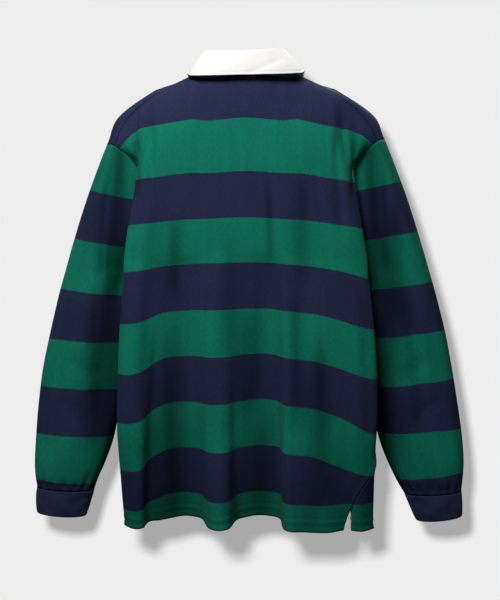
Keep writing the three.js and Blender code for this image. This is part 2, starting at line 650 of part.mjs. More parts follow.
function panel(face) {
  const back = face === "back";
  const columns = panelColumns(face);
  const last = columns.length - 1;
  const total = BODY_KNOTS[face][BODY_KNOTS[face].length - 1];
  const gap = SEAM_GAP / 2;
  const outer = [];
  const normals = [];
  const thick = [];
  for (const level of LEVELS) {
    const z = mix(HEM_HEIGHT, UNDERARM_HEIGHT, level);
    thick.push(CLOTH + (z - HEM_HEIGHT < HEM_TURN_UP + 1 ? HEM_EXTRA : 0));
    const line = [];
    const lineNormals = [];
    columns.forEach((column, i) => {
      const edge = i === 0 || i === last;
      const at = edge ? Math.round(column.at) : column.at;
      const inside = edge ? mix(at, 0.5, (2 * gap) / total) : at;
      if (level < 2) {
        line.push(panelPoint(face, inside, level));
      } else {
        const atNeck = column.along === null;
        const seam = atNeck ? topEdge(column.across, back ? 0 : 180) : shoulderSeam(column.side, column.along);
        const way = panelPoint(face, inside, 1.97).sub(seam);
        if (column.along !== null) {
          const seamWay = shoulderSeam(column.side, Math.max(0, column.along - 0.02));
          seamWay.sub(shoulderSeam(column.side, Math.min(1, column.along + 0.02))).normalize();
          way.addScaledVector(seamWay, -way.dot(seamWay));
        }
        line.push(seam.addScaledVector(way.normalize(), gap * 1.8));
      }
      if (edge && level >= 1) {
        lineNormals.push(armholeNormal(column.side, back ? (level - 1) / 2 : 1 - (level - 1) / 2));
      } else if (edge) {
        lineNormals.push(sideSeamNormal(column.side, z));
      } else if (level === 2 && column.along !== null) {
        lineNormals.push(shoulderNormal(column.side, column.along));
      } else {
        lineNormals.push(panelNormal(face, at, Math.min(level, 1.995)));
      }
    });
    outer.push(line);
    normals.push(lineNormals);
  }
  return { outer, normals, thickness: (j) => thick[j] };
}

function sleeve(side) {
  const steps = STEPS.sleeve;
  const downs = [];
  for (let j = 0; j <= steps.upper; j += 1) {
    downs.push(j / steps.upper);
  }
  for (let j = 1; j <= steps.lower; j += 1) {
    downs.push(1 + j / steps.lower);
  }
  const up = RISES.map((rise) => rise / 2);
  const rounds = [...up, ...up.slice(1, -1).reverse().map((round) => 1 - round)];
  if (side < 0) {
    rounds.reverse();
  }
  downs.reverse();
  const outer = downs.map((down) => rounds.map((round) => {
    const p = sleevePoint(side, round % 1, down);
    if (down === 0) {
      const atUnderarm = Math.max(0, Math.cos(round * 2 * Math.PI)) ** 8;
      const step = SEAM_GAP * mix(0.5, 4, atUnderarm);
      p.addScaledVector(sleevePoint(side, round % 1, 0.05).sub(p).normalize(), step);
    }
    return p;
  }));
  const normals = downs.map((down) => rounds.map((round) => {
    if (down < 0.01) {
      return armholeNormal(side, round % 1);
    }
    return sleeveNormal(side, round % 1, down);
  }));
  return wall(outer, normals, () => CLOTH, true);
}

function cuff(side) {
  const steps = STEPS.cuff;
  const sections = CUFF_SECTIONS[side < 0 ? "left" : "right"];
  const first = sections[0].z;
  const last = sections[sections.length - 1].z;
  const surface = (round, down) => sectionPoint(sections, side, round, mix(first, last, down));
  const rounds = [];
  for (let i = 0; i < steps.round; i += 1) {
    rounds.push(side < 0 ? 1 - i / steps.round : i / steps.round);
  }
  const outer = [];
  const normals = [];
  for (let j = steps.down; j >= 0; j -= 1) {
    const down = j / steps.down;
    outer.push(rounds.map((round) => surface(round, down)));
    normals.push(rounds.map((round) => {
      const roundWay = surface(round + NORMAL_STEP, down).sub(surface(round - NORMAL_STEP, down));
      const downWay = surface(round, Math.min(1, down + NORMAL_STEP));
      downWay.sub(surface(round, Math.max(0, down - NORMAL_STEP)));
      return roundWay.cross(downWay).multiplyScalar(-side).normalize();
    }));
  }
  return wall(outer, normals, () => RIB, true);
}

// Fold line of the collar above the neckline, and its outward direction seen from above
function standTop(turn) {
  const base = neckline(turn);
  const across = Math.sin(THREE.MathUtils.degToRad(turn));
  const toFront = ease((Math.abs(turn) - 60) / 115);
  const height = mix(STAND.back + STAND.sideExtra * across * across, STAND.front, toFront);
  const x = base.x * STAND.lean + STAND.shift * (1 - toFront);
  return point(x, base.y * STAND.deep, base.z + height + COLLAR_SLOPE * base.x);
}
function outwardAt(turn) {
  const angle = THREE.MathUtils.degToRad(turn);
  const depth = Math.cos(angle) > 0 ? NECK.back : NECK.front;
  return point(Math.sin(angle) * depth, -Math.cos(angle) * NECK.out, 0).normalize();
}
function standPoint(turn, up) {
  const foot = neckline(turn);
  foot.z += SEAM_GAP * 2.5;
  return foot.lerp(standTop(turn), up);
}
// Leaf point: fall 0 at the fold over the stand, 1 at the outer edge
const LEAF_ROLL = [
  { fall: 0, out: 0, up: 0.4 },
  { fall: 0.05, out: 0.6, up: 2.6 },
  { fall: 0.11, out: 3, up: 3.6 },
  { fall: 0.18, out: 5, up: 1.5 },
];
function leafPoint(turn, fall) {
  const fold = standTop(turn);
  const outward = outwardAt(turn);
  const lastRoll = LEAF_ROLL[LEAF_ROLL.length - 1];
  const rolled = Math.min(fall, lastRoll.fall);
  const p = fold.addScaledVector(outward, read(LEAF_ROLL, "fall", rolled, "out"));
  p.z += read(LEAF_ROLL, "fall", rolled, "up");
  if (fall > lastRoll.fall) {
    const side = Math.sign(turn) || 1;
    const at = (column) => read(COLLAR_EDGE, "turn", Math.abs(turn), column);
    const t = (fall - lastRoll.fall) / (1 - lastRoll.fall);
    const end = point(side * at("out"), at("y"), at("z") + COLLAR_SLOPE * side * at("out"));
    p.lerp(end, t).addScaledVector(outward, 3 * t * (1 - t));
  }
  return p;
}
// Turns of the collar's columns: the same places round the neck as the panels' columns
const NECK_TURNS = [];
for (let i = -STEPS.neck; i <= STEPS.neck; i += 1) {
  const share = Math.abs(i) / STEPS.neck;
  const turn = share <= 0.5 ? NECK.seamTurn * share * 2 : mix(NECK.seamTurn, 180, share * 2 - 1);
  NECK_TURNS.push(Math.sign(i) * Math.min(turn, COLLAR_FRONT_TURN));
}
function band(surface, steps) {
  const outer = [];
  const normals = [];
  for (let j = 0; j <= steps; j += 1) {
    const v = j / steps;
    outer.push(NECK_TURNS.map((turn) => surface(turn, v)));
    normals.push(NECK_TURNS.map((turn) => {
      const high = Math.min(COLLAR_FRONT_TURN, turn + 1);
      const low = Math.max(-COLLAR_FRONT_TURN, turn - 1);
      const roundWay = surface(high, v).sub(surface(low, v));
      const upWay = surface(turn, Math.min(1, v + NORMAL_STEP)).sub(surface(turn, Math.max(0, v - NORMAL_STEP)));
      return roundWay.cross(upWay).normalize();
    }));
  }
  return wall(outer, normals, () => TWILL, false);
}
// A point of the front panel straight under a place seen from the front
function onFront(x, z) {
  let across = 0.5;
  let level = 1.5;
  for (let i = 0; i < 40; i += 1) {
    const p = panelPoint("front", across, level);
    across = clamp(across + (p.x - x) / 700);
    level = Math.min(2, Math.max(0, level + (z - p.z) / 320));
  }
  return { across, level };
}
function placket() {
  const outer = [];
  const normals = [];
  const rows = 8;
  const columns = 6;
  for (let j = 0; j <= rows; j += 1) {
    const z = mix(PLACKET.bottom, PLACKET.top, j / rows);
    const line = [];
    const lineNormals = [];
    for (let i = 0; i <= columns; i += 1) {
      const x = mix(PLACKET.half, -PLACKET.half, i / columns);
      const place = onFront(x, z);
      const n = panelNormal("front", place.across, Math.min(place.level, 1.99));
      line.push(panelPoint("front", place.across, place.level).addScaledVector(n, PLACKET.thick + SEAM_GAP));
      lineNormals.push(n);
    }
    outer.push(line);
    normals.push(lineNormals);
  }
  return wall(outer, normals, () => PLACKET.thick, false);
}
function button(height) {
  const r = BUTTON.radius;
  const t = BUTTON.thick;
  const profile = [[0, 0], [r * 0.8, 0], [r, t * 0.35], [r, t * 0.7], [r * 0.86, t], [r * 0.68, t * 0.78], [0, t * 0.72]];
  const geometry = new THREE.LatheGeometry(profile.map(([x, y]) => new THREE.Vector2(x, y)), 16);
  const place = onFront(0, height);
  const n = panelNormal("front", place.across, place.level);
  const lift = PLACKET.thick + SEAM_GAP * 2.5;
  const foot = panelPoint("front", place.across, place.level).addScaledVector(n, lift);
  const turn = new THREE.Quaternion().setFromUnitVectors(point(0, 1, 0), n);
  geometry.applyQuaternion(turn);
  geometry.translate(foot.x, foot.y, foot.z);
  return geometry;
}

// A tape under the edge of a vent, made from the panel's own points and showing a little past its edge
function ventTape(cloth, atStart) {
  const last = cloth.outer[0].length - 1;
  const edge = atStart ? 0 : last;
  const next = atStart ? 1 : last - 1;
  const outer = [];
  const normals = [];
  for (const up of [TAPE.foot, HEM_TURN_UP, VENT.height - TAPE.below]) {
    const low = up > HEM_TURN_UP ? 1 : 0;
    const [from, to] = low === 0 ? [0, HEM_TURN_UP] : [HEM_TURN_UP, VENT.height];
    const pick = (grid, i) => grid[low][i].clone().lerp(grid[low + 1][i], (up - from) / (to - from));
    const a = pick(cloth.outer, edge);
    const b = pick(cloth.outer, next);
    const show = mix(TAPE.show, -SEAM_GAP * 2, up / VENT.height);
    const width = a.distanceTo(b);
    const shares = [-show / width, TAPE.width / width];
    const line = (atStart ? shares : [...shares].reverse()).map((share) => {
      const n = pick(cloth.normals, edge).lerp(pick(cloth.normals, next), clamp(share)).normalize();
      return a.clone().lerp(b, share).addScaledVector(n, -(CLOTH + HEM_EXTRA + TAPE.gap));
    });
    outer.push(line);
    normals.push(line.map(() => pick(cloth.normals, edge).normalize()));
  }
  return wall(outer, normals, () => TAPE.thick, false);
}

const GREEN = 0x0c6e4f;
const NAVY = 0x1d2040;
const WHITE = 0xf4f3ee;
const shirt = new THREE.Group();
function add(name, geometry, color, roughness) {
  const mesh = new THREE.Mesh(geometry, new THREE.MeshStandardMaterial({ color, roughness, metalness: 0 }));
  mesh.name = name;
  shirt.add(mesh);
}
const cloths = { back: panel("back"), front: panel("front") };
for (const face of ["back", "front"]) {
  const { outer, normals, thickness } = cloths[face];
  add(`${face}_panel`, wall(outer, normals, thickness, false), GREEN, 0.9);
}
add("sleeve_left", sleeve(-1), GREEN, 0.9);
add("sleeve_right", sleeve(1), GREEN, 0.9);
add("cuff_left", cuff(-1), NAVY, 0.95);
add("cuff_right", cuff(1), NAVY, 0.95);
add("collar_stand", band(standPoint, STEPS.stand), WHITE, 0.85);
add("collar", band((turn, up) => leafPoint(turn, 1 - up), STEPS.collar), WHITE, 0.85);
add("placket", placket(), WHITE, 0.85);
BUTTON.heights.forEach((height, i) => add(`button_${i + 1}`, button(height), WHITE, 0.6));
for (const side of [-1, 1]) {
  for (const face of ["back", "front"]) {
    add(`vent_tape_${side < 0 ? "left" : "right"}_${face}`, ventTape(cloths[face], (side < 0) === (face === "back")), WHITE, 0.9);
  }
}

export default shirt;
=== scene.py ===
# %% [markdown]
# # A rugby shirt, hung up and seen from behind
# The shirt is heavy striped jersey with a white twill collar and ribbed cuffs. Nobody wears it, and it
# keeps the hollow form that it has when something inside holds it at the neck and shoulders.
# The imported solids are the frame. Every piece of cloth is then made again as a thin, finely divided
# shell on its solid's form, because only a fine shell can carry creases, hems and seams.

# %% Load the frame
import json
import math
import random
import bpy
import numpy as np
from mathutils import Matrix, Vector

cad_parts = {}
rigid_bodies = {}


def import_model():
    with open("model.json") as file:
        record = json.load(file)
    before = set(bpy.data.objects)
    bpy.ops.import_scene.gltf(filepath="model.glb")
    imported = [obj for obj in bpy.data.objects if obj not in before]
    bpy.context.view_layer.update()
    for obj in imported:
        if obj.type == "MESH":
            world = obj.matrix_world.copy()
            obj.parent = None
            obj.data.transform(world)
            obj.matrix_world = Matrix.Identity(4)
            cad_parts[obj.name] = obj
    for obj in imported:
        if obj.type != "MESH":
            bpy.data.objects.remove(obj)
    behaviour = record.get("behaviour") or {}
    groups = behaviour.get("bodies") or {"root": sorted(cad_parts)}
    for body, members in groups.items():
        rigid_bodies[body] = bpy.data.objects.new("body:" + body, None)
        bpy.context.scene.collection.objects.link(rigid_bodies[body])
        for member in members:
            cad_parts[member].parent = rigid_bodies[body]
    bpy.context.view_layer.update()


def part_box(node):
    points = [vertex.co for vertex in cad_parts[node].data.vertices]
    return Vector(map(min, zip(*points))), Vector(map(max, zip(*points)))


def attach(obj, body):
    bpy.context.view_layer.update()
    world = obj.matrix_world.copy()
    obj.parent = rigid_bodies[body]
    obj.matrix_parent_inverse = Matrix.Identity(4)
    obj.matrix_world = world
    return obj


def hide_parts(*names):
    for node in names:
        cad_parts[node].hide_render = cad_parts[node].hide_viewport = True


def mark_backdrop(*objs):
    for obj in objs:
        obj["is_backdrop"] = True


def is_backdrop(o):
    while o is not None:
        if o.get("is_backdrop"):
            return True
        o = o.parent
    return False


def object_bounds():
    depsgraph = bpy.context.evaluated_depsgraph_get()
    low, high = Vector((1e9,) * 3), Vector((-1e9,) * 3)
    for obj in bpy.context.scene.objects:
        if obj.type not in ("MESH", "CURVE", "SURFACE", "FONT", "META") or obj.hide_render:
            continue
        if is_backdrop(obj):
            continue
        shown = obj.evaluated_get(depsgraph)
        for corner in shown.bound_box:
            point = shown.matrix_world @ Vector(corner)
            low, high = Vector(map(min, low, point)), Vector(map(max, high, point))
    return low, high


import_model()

# %% [markdown]
# ## The camera
# The photograph looks straight at the back from about 1.8 m away, with the shirt a little left of the
# middle of the frame. The camera comes first, so that every step can be looked at from there.

# %% Camera
EYE_DISTANCE = 1.8
EYE_HEIGHT = -0.1728
FOCAL_PIXELS = 1067.5
FRAME_PIXELS = 600  # the long side of the photograph
SENSOR = 36.0
MIDDLE_SHIFT = (4.0, -100.0)  # of the picture's middle from the point straight ahead, in pixels

def into_scene(name, data):
    """A new object with its data, linked into the scene."""
    made = bpy.data.objects.new(name, data)
    bpy.context.scene.collection.objects.link(made)
    return made


camera_data = bpy.data.cameras.new("camera")
camera_data.sensor_width = SENSOR
camera_data.lens = FOCAL_PIXELS * SENSOR / FRAME_PIXELS
camera_data.shift_x = MIDDLE_SHIFT[0] / FRAME_PIXELS
camera_data.shift_y = MIDDLE_SHIFT[1] / FRAME_PIXELS
camera = into_scene("camera", camera_data)
camera.location = (0, -EYE_DISTANCE, EYE_HEIGHT)
camera.rotation_euler = (math.radians(90), 0, 0)
bpy.context.scene.camera = camera
print("camera: a lens of", round(camera_data.lens, 1), "mm,", EYE_DISTANCE, "m away")

# %% [markdown]
# ## The garment's own sizes
# The cloth follows the same sizes as the solids, in millimetres: the outline of the body at each height,
# the depth of the flutes, the armholes, the shoulder seams and the sections of the sleeves. Each table
# names its columns. The first column is the one that a value is looked up by.

# %% Tables and smooth curves
def table(names, *rows):
    values = np.array(rows, float)
    if values[0, 0] > values[-1, 0]:
        values = values[::-1]
    return dict(zip(names.split(), values.T))


def smooth(keys, values, at):
    """Smooth curve through values at keys, read at one place or at many."""
    keys = np.asarray(keys, float)
    values = np.asarray(values, float)
    at = np.clip(np.asarray(at, float), keys[0], keys[-1])
    i = np.searchsorted(keys[1:-1], at, side="left")
    wide = np.diff(keys)
    many = values.ndim > 1
    wide_rows = wide[:, None] if many else wide
    slope = np.diff(values, axis=0) / wide_rows
    inner = (slope[:-1] * wide_rows[1:] + slope[1:] * wide_rows[:-1]) / (wide_rows[:-1] + wide_rows[1:])
    tangent = np.concatenate([slope[:1], inner, slope[-1:]])
    span = wide[i]
    t = (at - keys[i]) / span
    if many:
        t, span = t[..., None], span[..., None]
    a, b = values[i], values[i + 1]
    c, d = tangent[i] * span, tangent[i + 1] * span
    return a + c * t + (3 * (b - a) - 2 * c - d) * t * t + (2 * (a - b) + c + d) * t ** 3


def read(rows, at, column):
    keys = next(iter(rows.values()))
    return smooth(keys, rows[column], at)


def read_side(rows, at, side):
    """A table's left column where a side is below 0, and its right column elsewhere."""
    return np.where(np.asarray(side) < 0, read(rows, at, "left"), read(rows, at, "right"))


def of_side(pair, side):
    return np.where(np.asarray(side) < 0, pair["left"], pair["right"])


def mix(a, b, t):
    return a + (b - a) * t


def clamp(t):
    return np.clip(t, 0.0, 1.0)


def ease(t):
    t = clamp(t)
    return t * t * (3 - 2 * t)


print("halfway up a smooth hill of height 1:", round(float(smooth([0, 1, 2], [0, 1, 0], 0.5)), 3))

# %% Sizes of the cloth and the hang of the body, in millimetres
CLOTH = 1.6  # how thick the jersey, the rib and the twill are
RIB = 2.4
TWILL = 1.8
HEM_HEIGHT = -696.0
UNDERARM_HEIGHT = -268.0
HEM_TURN_UP = 24.0
SIDE_DROOP = {"left": 14.0, "right": 20.0, "power": 1.8}  # how far the sides hang below the middle
FLUTE_DROOP = {"share": 0.12, "plain": -66.0, "full": 300.0}
VENT = {"height": 42.0, "opening": 6.5}
NECK = {"out": 86.0, "back": 52.0, "front": 66.0, "seam_turn": 74.0, "back_height": 37.0,
        "side_height": 40.0, "front_drop": 74.0, "drop_power": 1.6}
CENTRE = 0.5  # share of each half panel's top that ends at the neck
FOLDS = {"start": -180.0, "middle": -540.0, "hem": -696.0}
TUCK = {"share": 0.3, "back": -30.0, "front": 34.0, "seam": 4.0}  # the cloth's turn into a side seam

OUTLINE = table(
    "z left right tuck front",
    (10, 165, 160, 158, 150), (-57, 171, 161, 158, 156), (-110, 177, 172, 158, 162),
    (-170, 186, 184, 158, 170), (-240, 199, 196, 158, 178), (-330, 206, 209, 163, 187),
    (-430, 210, 215, 174, 192), (-550, 210, 215, 184, 194), (-630, 205, 211, 186, 194),
    (-700, 200, 211, 178, 190), (-740, 199, 211, 176, 190))
BACK_FOLDS = table(
    "across chest middle hem",
    (-1, -47, -63, -42), (-0.9, -61, -82, -64), (-0.84, -63, -78, -66), (-0.76, -65, -60, -46),
    (-0.62, -66, -53, -38), (-0.43, -66, -54, -38), (-0.36, -66, -62, -54), (-0.3, -67, -75, -86),
    (-0.13, -67, -77, -90), (-0.06, -67, -64, -58), (0.01, -67, -56, -46), (0.19, -67, -52, -42),
    (0.25, -67, -62, -58), (0.3, -68, -78, -89), (0.45, -68, -83, -95), (0.62, -67, -82, -88),
    (0.76, -65, -78, -69), (0.9, -60, -75, -64), (1, -46, -60, -42))
FRONT_FOLDS = table(
    "across chest middle hem",
    (1, 46, 46, 34), (0.88, 60, 66, 56), (0.7, 67, 76, 70), (0.56, 69, 62, 46), (0.38, 70, 50, 30),
    (0.28, 70, 56, 44), (0.18, 71, 76, 74), (0, 71, 80, 79), (-0.2, 71, 73, 66), (-0.32, 70, 56, 38),
    (-0.5, 69, 52, 32), (-0.6, 69, 62, 50), (-0.75, 66, 75, 68), (-0.9, 59, 64, 54), (-1, 46, 46, 34))
ARMHOLE = {
    "back": table(
        "rise out y z",
        (0, 158, 4, -268), (0.17, 157, 0, -224), (0.34, 159, -8, -180), (0.5, 168, -18, -140),
        (0.64, 188, -27, -107), (0.76, 208, -29, -90), (1, 225, -18, -80)),
    "front": table(
        "rise out y z",
        (0, 158, 4, -268), (0.16, 158, 20, -212), (0.34, 168, 33, -162), (0.54, 186, 40, -124),
        (0.7, 208, 37, -101), (0.86, 228, 24, -87), (0.94, 235, 2, -80), (1, 225, -18, -80)),
}
RIGHT_TIP_RISE = 8.0  # how much higher the right shoulder's tip is
RIGHT_TIP_INSIDE = 0.32  # share of it just inside the armhole
DROOP_GONE = 0.5  # rise by which the sides no longer hang lower
TUCK_GONE = 0.4  # rise by which the turn of the tuck follows the armhole alone
NARROWING = 0.5  # rise from which the columns lean in towards the shoulder
NECK_SPREAD = {"most": 20.0, "reach": 0.35}  # the front opens out below the neck's corner
FRONT_RIDGE = {"climb": 0.78, "start": 0.6, "reach": 0.35}  # the front runs higher before it rolls back
SHOULDER_ROLL = {"start": 0.55, "power": 2.4, "back": 0.5, "front": 0.8}
SHOULDER_SEAM = table(
    "along out y z",
    (0, 82.7, -14.3, 40), (0.14, 108, -16, 27), (0.28, 132, -17, 15.5), (0.45, 158, -18, 3),
    (0.65, 188, -19, -18), (0.82, 209, -20, -43), (1, 225, -18, -80))
FOLD_ON_SEAM = 0.47  # where the outermost fold, and the tuck's turn, end on the shoulder seam
TURN_ON_SEAM = 0.75
INNER_TURN = {
    "back": table(
        "rise out y z",
        (0, 171, -30, -268), (0.25, 165, -32, -202), (0.5, 172, -36, -142), (0.75, 191, -42, -80),
        (1, 201, -19.5, -32)),
    "front": table(
        "rise out y z",
        (0, 165, 34, -268), (0.25, 164, 37, -205), (0.5, 176, 44, -142), (0.75, 199, 41, -70),
        (0.9, 211, 18, -30), (0.965, 209, 0, -25), (1, 201, -19.5, -32)),
}
# How far each side seam has drifted round to the back, by height
SEAM_DRIFT = table(
    "z right left",
    (-268, 0, 0), (-430, 0, 0), (-520, 22, 3), (-590, 76, 6), (-640, 112, 8), (-700, 128, 10),
    (-740, 128, 10))
DRIFT_SHARE = 0.5  # share of a panel that makes way for a drifted seam
print("tables: outline of", len(OUTLINE["z"]), "heights, back folds of", len(BACK_FOLDS["across"]), "columns")

# %% [markdown]
# ## How the body hangs
# Below the underarm the cloth is one ring, read level by level from the left seam round the back to the
# right seam and on round the front, so that a side seam may lie anywhere round it. Above the underarm
# each panel goes up to its armholes, its shoulder seams and its part of the neckline. A panel's point is
# found from how far across the cloth it is, and from its level: 0 at the hem, 1 at the underarm and 2
# at the shoulder.

# %% One level of the body below the underarm
FIRST_SIDE = {"back": -1, "front": 1}  # the side that a face is read from
FACING = {"back": -1, "front": 1}  # the way that a face looks along Y
MIDDLE_TURN = {"back": 0, "front": 180}  # where the neckline's middle is on a face, in degrees


def folds_of(face, column):
    """A column of a face's folds, in the order in which the face is read."""
    return BACK_FOLDS[column] if face == "back" else FRONT_FOLDS[column][::-1]


def fold_depth(face, z):
    start, middle, hem = FOLDS["start"], FOLDS["middle"], FOLDS["hem"]
    if z > start:
        return folds_of(face, "chest")
    if z > middle:
        return mix(folds_of(face, "chest"), folds_of(face, "middle"), ease((start - z) / (start - middle)))
    return mix(folds_of(face, "middle"), folds_of(face, "hem"), clamp((middle - z) / (middle - hem)))


def droop(across, depth, z):
    stands_out = np.abs(depth) + FLUTE_DROOP["plain"]
    flute = FLUTE_DROOP["share"] * stands_out * ease((FOLDS["start"] - z) / FLUTE_DROOP["full"])
    return of_side(SIDE_DROOP, across) * np.abs(across) ** SIDE_DROOP["power"] + flute


def body_level(face, z):
    """Columns of one face at one height, from its first side seam to its second."""
    across, first, turn = folds_of(face, "across"), FIRST_SIDE[face], TUCK[face]
    tuck = read(OUTLINE, z, "tuck")
    low = {-1: z - SIDE_DROOP["left"], 1: z - SIDE_DROOP["right"]}
    if face == "back":
        edge = read_side(OUTLINE, z, across)
    else:
        edge = np.full(len(across), read(OUTLINE, z, "front"))
    inner = [mix(tuck, edge[0], TUCK["share"]), mix(tuck, edge[-1], TUCK["share"])]
    start = [(first * tuck, TUCK["seam"], low[first]), (first * inner[0], turn, low[first])]
    end = [(-first * inner[1], turn, low[-first]), (-first * tuck, TUCK["seam"], low[-first])]
    depth = fold_depth(face, z)
    middle = np.stack([across * edge, depth, z - droop(across, depth, z)], axis=1)
    return np.concatenate([start, middle, end])


print("columns of a level:", {face: len(body_level(face, HEM_HEIGHT)) for face in FIRST_SIDE})


# %% Armholes, shoulder seams and neckline
def armhole(side, face, rise):
    rows = ARMHOLE[face]
    lift = RIGHT_TIP_RISE * ease(rise) if side > 0 else 0.0
    lower = of_side(SIDE_DROOP, side) * (1 - ease(np.asarray(rise) / DROOP_GONE))
    z = read(rows, rise, "z") + lift - lower
    return np.stack([side * read(rows, rise, "out"), read(rows, rise, "y"), z], axis=-1)


def inner_turn(face, side, rise, start):
    """The column between a side's armhole and its outermost fold, from its place at the underarm."""
    rows = INNER_TURN[face]
    lower = of_side(SIDE_DROOP, side) * (1 - ease(rise / DROOP_GONE))
    off = side * start[0] - rows["out"][0]
    lift = RIGHT_TIP_RISE * RIGHT_TIP_INSIDE * ease(rise) if side > 0 else 0.0
    out = read(rows, rise, "out") + off * (1 - ease(rise / TUCK_GONE))
    return [side * out, read(rows, rise, "y"), read(rows, rise, "z") - lower + lift]


def shoulder_seam(side, along):
    lift = RIGHT_TIP_RISE * along ** 4 if side > 0 else 0.0
    return np.array([side * read(SHOULDER_SEAM, along, "out"), read(SHOULDER_SEAM, along, "y"),
                     read(SHOULDER_SEAM, along, "z") + lift])


def neckline(turn):
    angle = math.radians(turn)
    c = math.cos(angle)
    depth = -NECK["back"] * c if c > 0 else -NECK["front"] * c
    rise = mix(NECK["side_height"], NECK["back_height"], max(0.0, c))
    drop = NECK["front_drop"] * max(0.0, -c) ** NECK["drop_power"]
    return np.array([NECK["out"] * math.sin(angle), depth, rise - drop])


def top_edge(across, face):
    side = 1 if across >= 0 else -1
    share = abs(across)
    if share >= CENTRE:
        return shoulder_seam(side, mix(0, FOLD_ON_SEAM, (share - CENTRE) / (1 - CENTRE)))
    return neckline(side * mix(MIDDLE_TURN[face], NECK["seam_turn"], share / CENTRE))


print("neck corner:", neckline(NECK["seam_turn"]).round(1), "seam's start:", shoulder_seam(1, 0).round(1))


# %% A panel's columns above the underarm
def upper_level(face, rise):
    """The same columns above the underarm: rise 0 there, 1 at the shoulder and neck."""
    back = face == "back"
    first = FIRST_SIDE[face]
    base = body_level(face, UNDERARM_HEIGHT)
    rolling = clamp((rise - SHOULDER_ROLL["start"]) / (1 - SHOULDER_ROLL["start"]))
    roll = max(0.0, 1 - rolling ** SHOULDER_ROLL["power"]) ** SHOULDER_ROLL[face]
    ridge = clamp((rise - FRONT_RIDGE["start"]) / (1 - FRONT_RIDGE["start"]))
    climb = rise if back else rise + FRONT_RIDGE["climb"] * ridge * ridge * (1 - ridge)
    below = clamp((1 - rise) / NECK_SPREAD["reach"])
    columns = [armhole(first, face, rise), inner_turn(face, first, rise, base[1])]
    for a, chest, start in zip(folds_of(face, "across"), folds_of(face, "chest"), base[2:-2]):
        top = top_edge(a, face)
        z = mix(start[2], top[2], mix(rise, climb, ease((abs(a) - CENTRE) / FRONT_RIDGE["reach"])))
        edge = read_side(OUTLINE, z, a) if back else read(OUTLINE, z, "front")
        near_neck = 1 - abs(abs(a) - CENTRE) / CENTRE
        spread = 0.0 if back else np.sign(a) * NECK_SPREAD["most"] * near_neck * 4 * below * (1 - below)
        x = mix(a * edge, top[0], ease((rise - NARROWING) / (1 - NARROWING))) + spread
        columns.append([x, mix(top[1], chest, roll), z])
    columns += [inner_turn(face, -first, rise, base[-2]), armhole(-first, face, rise)]
    return np.array(columns, float)


# %% Any row of a panel
KNOT_HEIGHT = -480.0  # the level that the cloth's width is measured at
LEAST_KNOT = 9.0


def knots_of(columns):
    """Places of the columns along the cloth, in mm from the first."""
    steps = np.maximum(LEAST_KNOT, np.linalg.norm(np.diff(columns, axis=0), axis=1))
    return np.concatenate([[0.0], np.cumsum(steps)])


KNOTS = {face: knots_of(body_level(face, KNOT_HEIGHT)) for face in ("back", "front")}
LENGTH = {face: KNOTS[face][-1] for face in KNOTS}
RING = LENGTH["back"] + LENGTH["front"]


def ring_points(z, at):
    back, front = body_level("back", z), body_level("front", z)
    columns = np.concatenate([front[-2:-1], back, front[1:], back[1:2]])
    knots = np.concatenate([[KNOTS["front"][-2] - LENGTH["front"]], KNOTS["back"],
                            KNOTS["front"][1:] + LENGTH["back"], [RING + KNOTS["back"][1]]])
    return smooth(knots, columns, np.mod(at, RING))


def panel_row(face, across, level):
    """Points of a panel at one level, for many places across it."""
    if level > 1:
        return smooth(KNOTS[face], upper_level(face, level - 1), across * LENGTH[face])
    z = mix(HEM_HEIGHT, UNDERARM_HEIGHT, level)
    right, left = read(SEAM_DRIFT, z, "right"), read(SEAM_DRIFT, z, "left")
    opening = VENT["opening"] * clamp(1 - (z - HEM_HEIGHT) / VENT["height"])
    at_start = ease(1 - across / DRIFT_SHARE)
    at_end = ease(1 - (1 - across) / DRIFT_SHARE)
    at = across * LENGTH[face]
    if face == "back":
        return ring_points(z, at + (opening - left) * at_start - (right + opening) * at_end)
    return ring_points(z, LENGTH["back"] + at + (opening - right) * at_start - (left + opening) * at_end)


print("cloth round the body:", round(RING), "mm, of it", {face: round(LENGTH[face]) for face in LENGTH})

# %% [markdown]
# ## Cloth as a fine grid
# A cloth's grid starts as rows of points. Creases press into it along its own normals, then it becomes a
# mesh with a map in metres of cloth, across and up, which the stripes and the knit are drawn on. The
# Solidify modifier gives the wall its thickness inwards, and its rims close the edges.

# %% Normals and creases
CREASE = {"fade": 0.3, "narrow": 0.7, "widens": 0.6, "facing": 0.35}  # shares of its length, width and normal
# The most that painted shade and dark seam lines darken the jersey, as a share
MOST_SHADE_AND_SEAM = 0.68


def normals_of(points, closed):
    if closed:
        wide = np.concatenate([points[:, -1:], points, points[:, :1]], axis=1)
        across = wide[:, 2:] - wide[:, :-2]
    else:
        across = np.gradient(points, axis=1)
    up = np.gradient(points, axis=0)
    normals = np.cross(across, up)
    return normals / np.maximum(np.linalg.norm(normals, axis=2, keepdims=True), 1e-9)


def crease_depth(points, normals, creases, facing=0):
    """Depth of creases on a cloth. A crease runs from one place to another as seen from behind, has a
    width and a depth (below 0 it is a ridge), and bows sideways. Facing -1 keeps it on the back."""
    x, z = points[..., 0], points[..., 2]
    depth = np.zeros(x.shape)
    for x0, z0, x1, z1, width, deep, bow in creases:
        run = np.array([x1 - x0, z1 - z0])
        size = np.hypot(*run)
        run = run / size
        t = ((x - x0) * run[0] + (z - z0) * run[1]) / size
        off = (x - x0) * run[1] - (z - z0) * run[0] - bow * 4 * clamp(t) * (1 - clamp(t))
        fade = ease(t / CREASE["fade"]) * ease((1 - t) / CREASE["fade"])
        grow = width * (CREASE["narrow"] + CREASE["widens"] * clamp(t))
        depth += deep * np.exp(-(off / grow) ** 2) * fade
    if facing:
        depth *= ease(facing * normals[..., 1] / CREASE["facing"])
    return depth


def press(points, normals, creases, facing=0):
    """Presses creases into a cloth."""
    return points - normals * crease_depth(points, normals, creases, facing)[..., None]


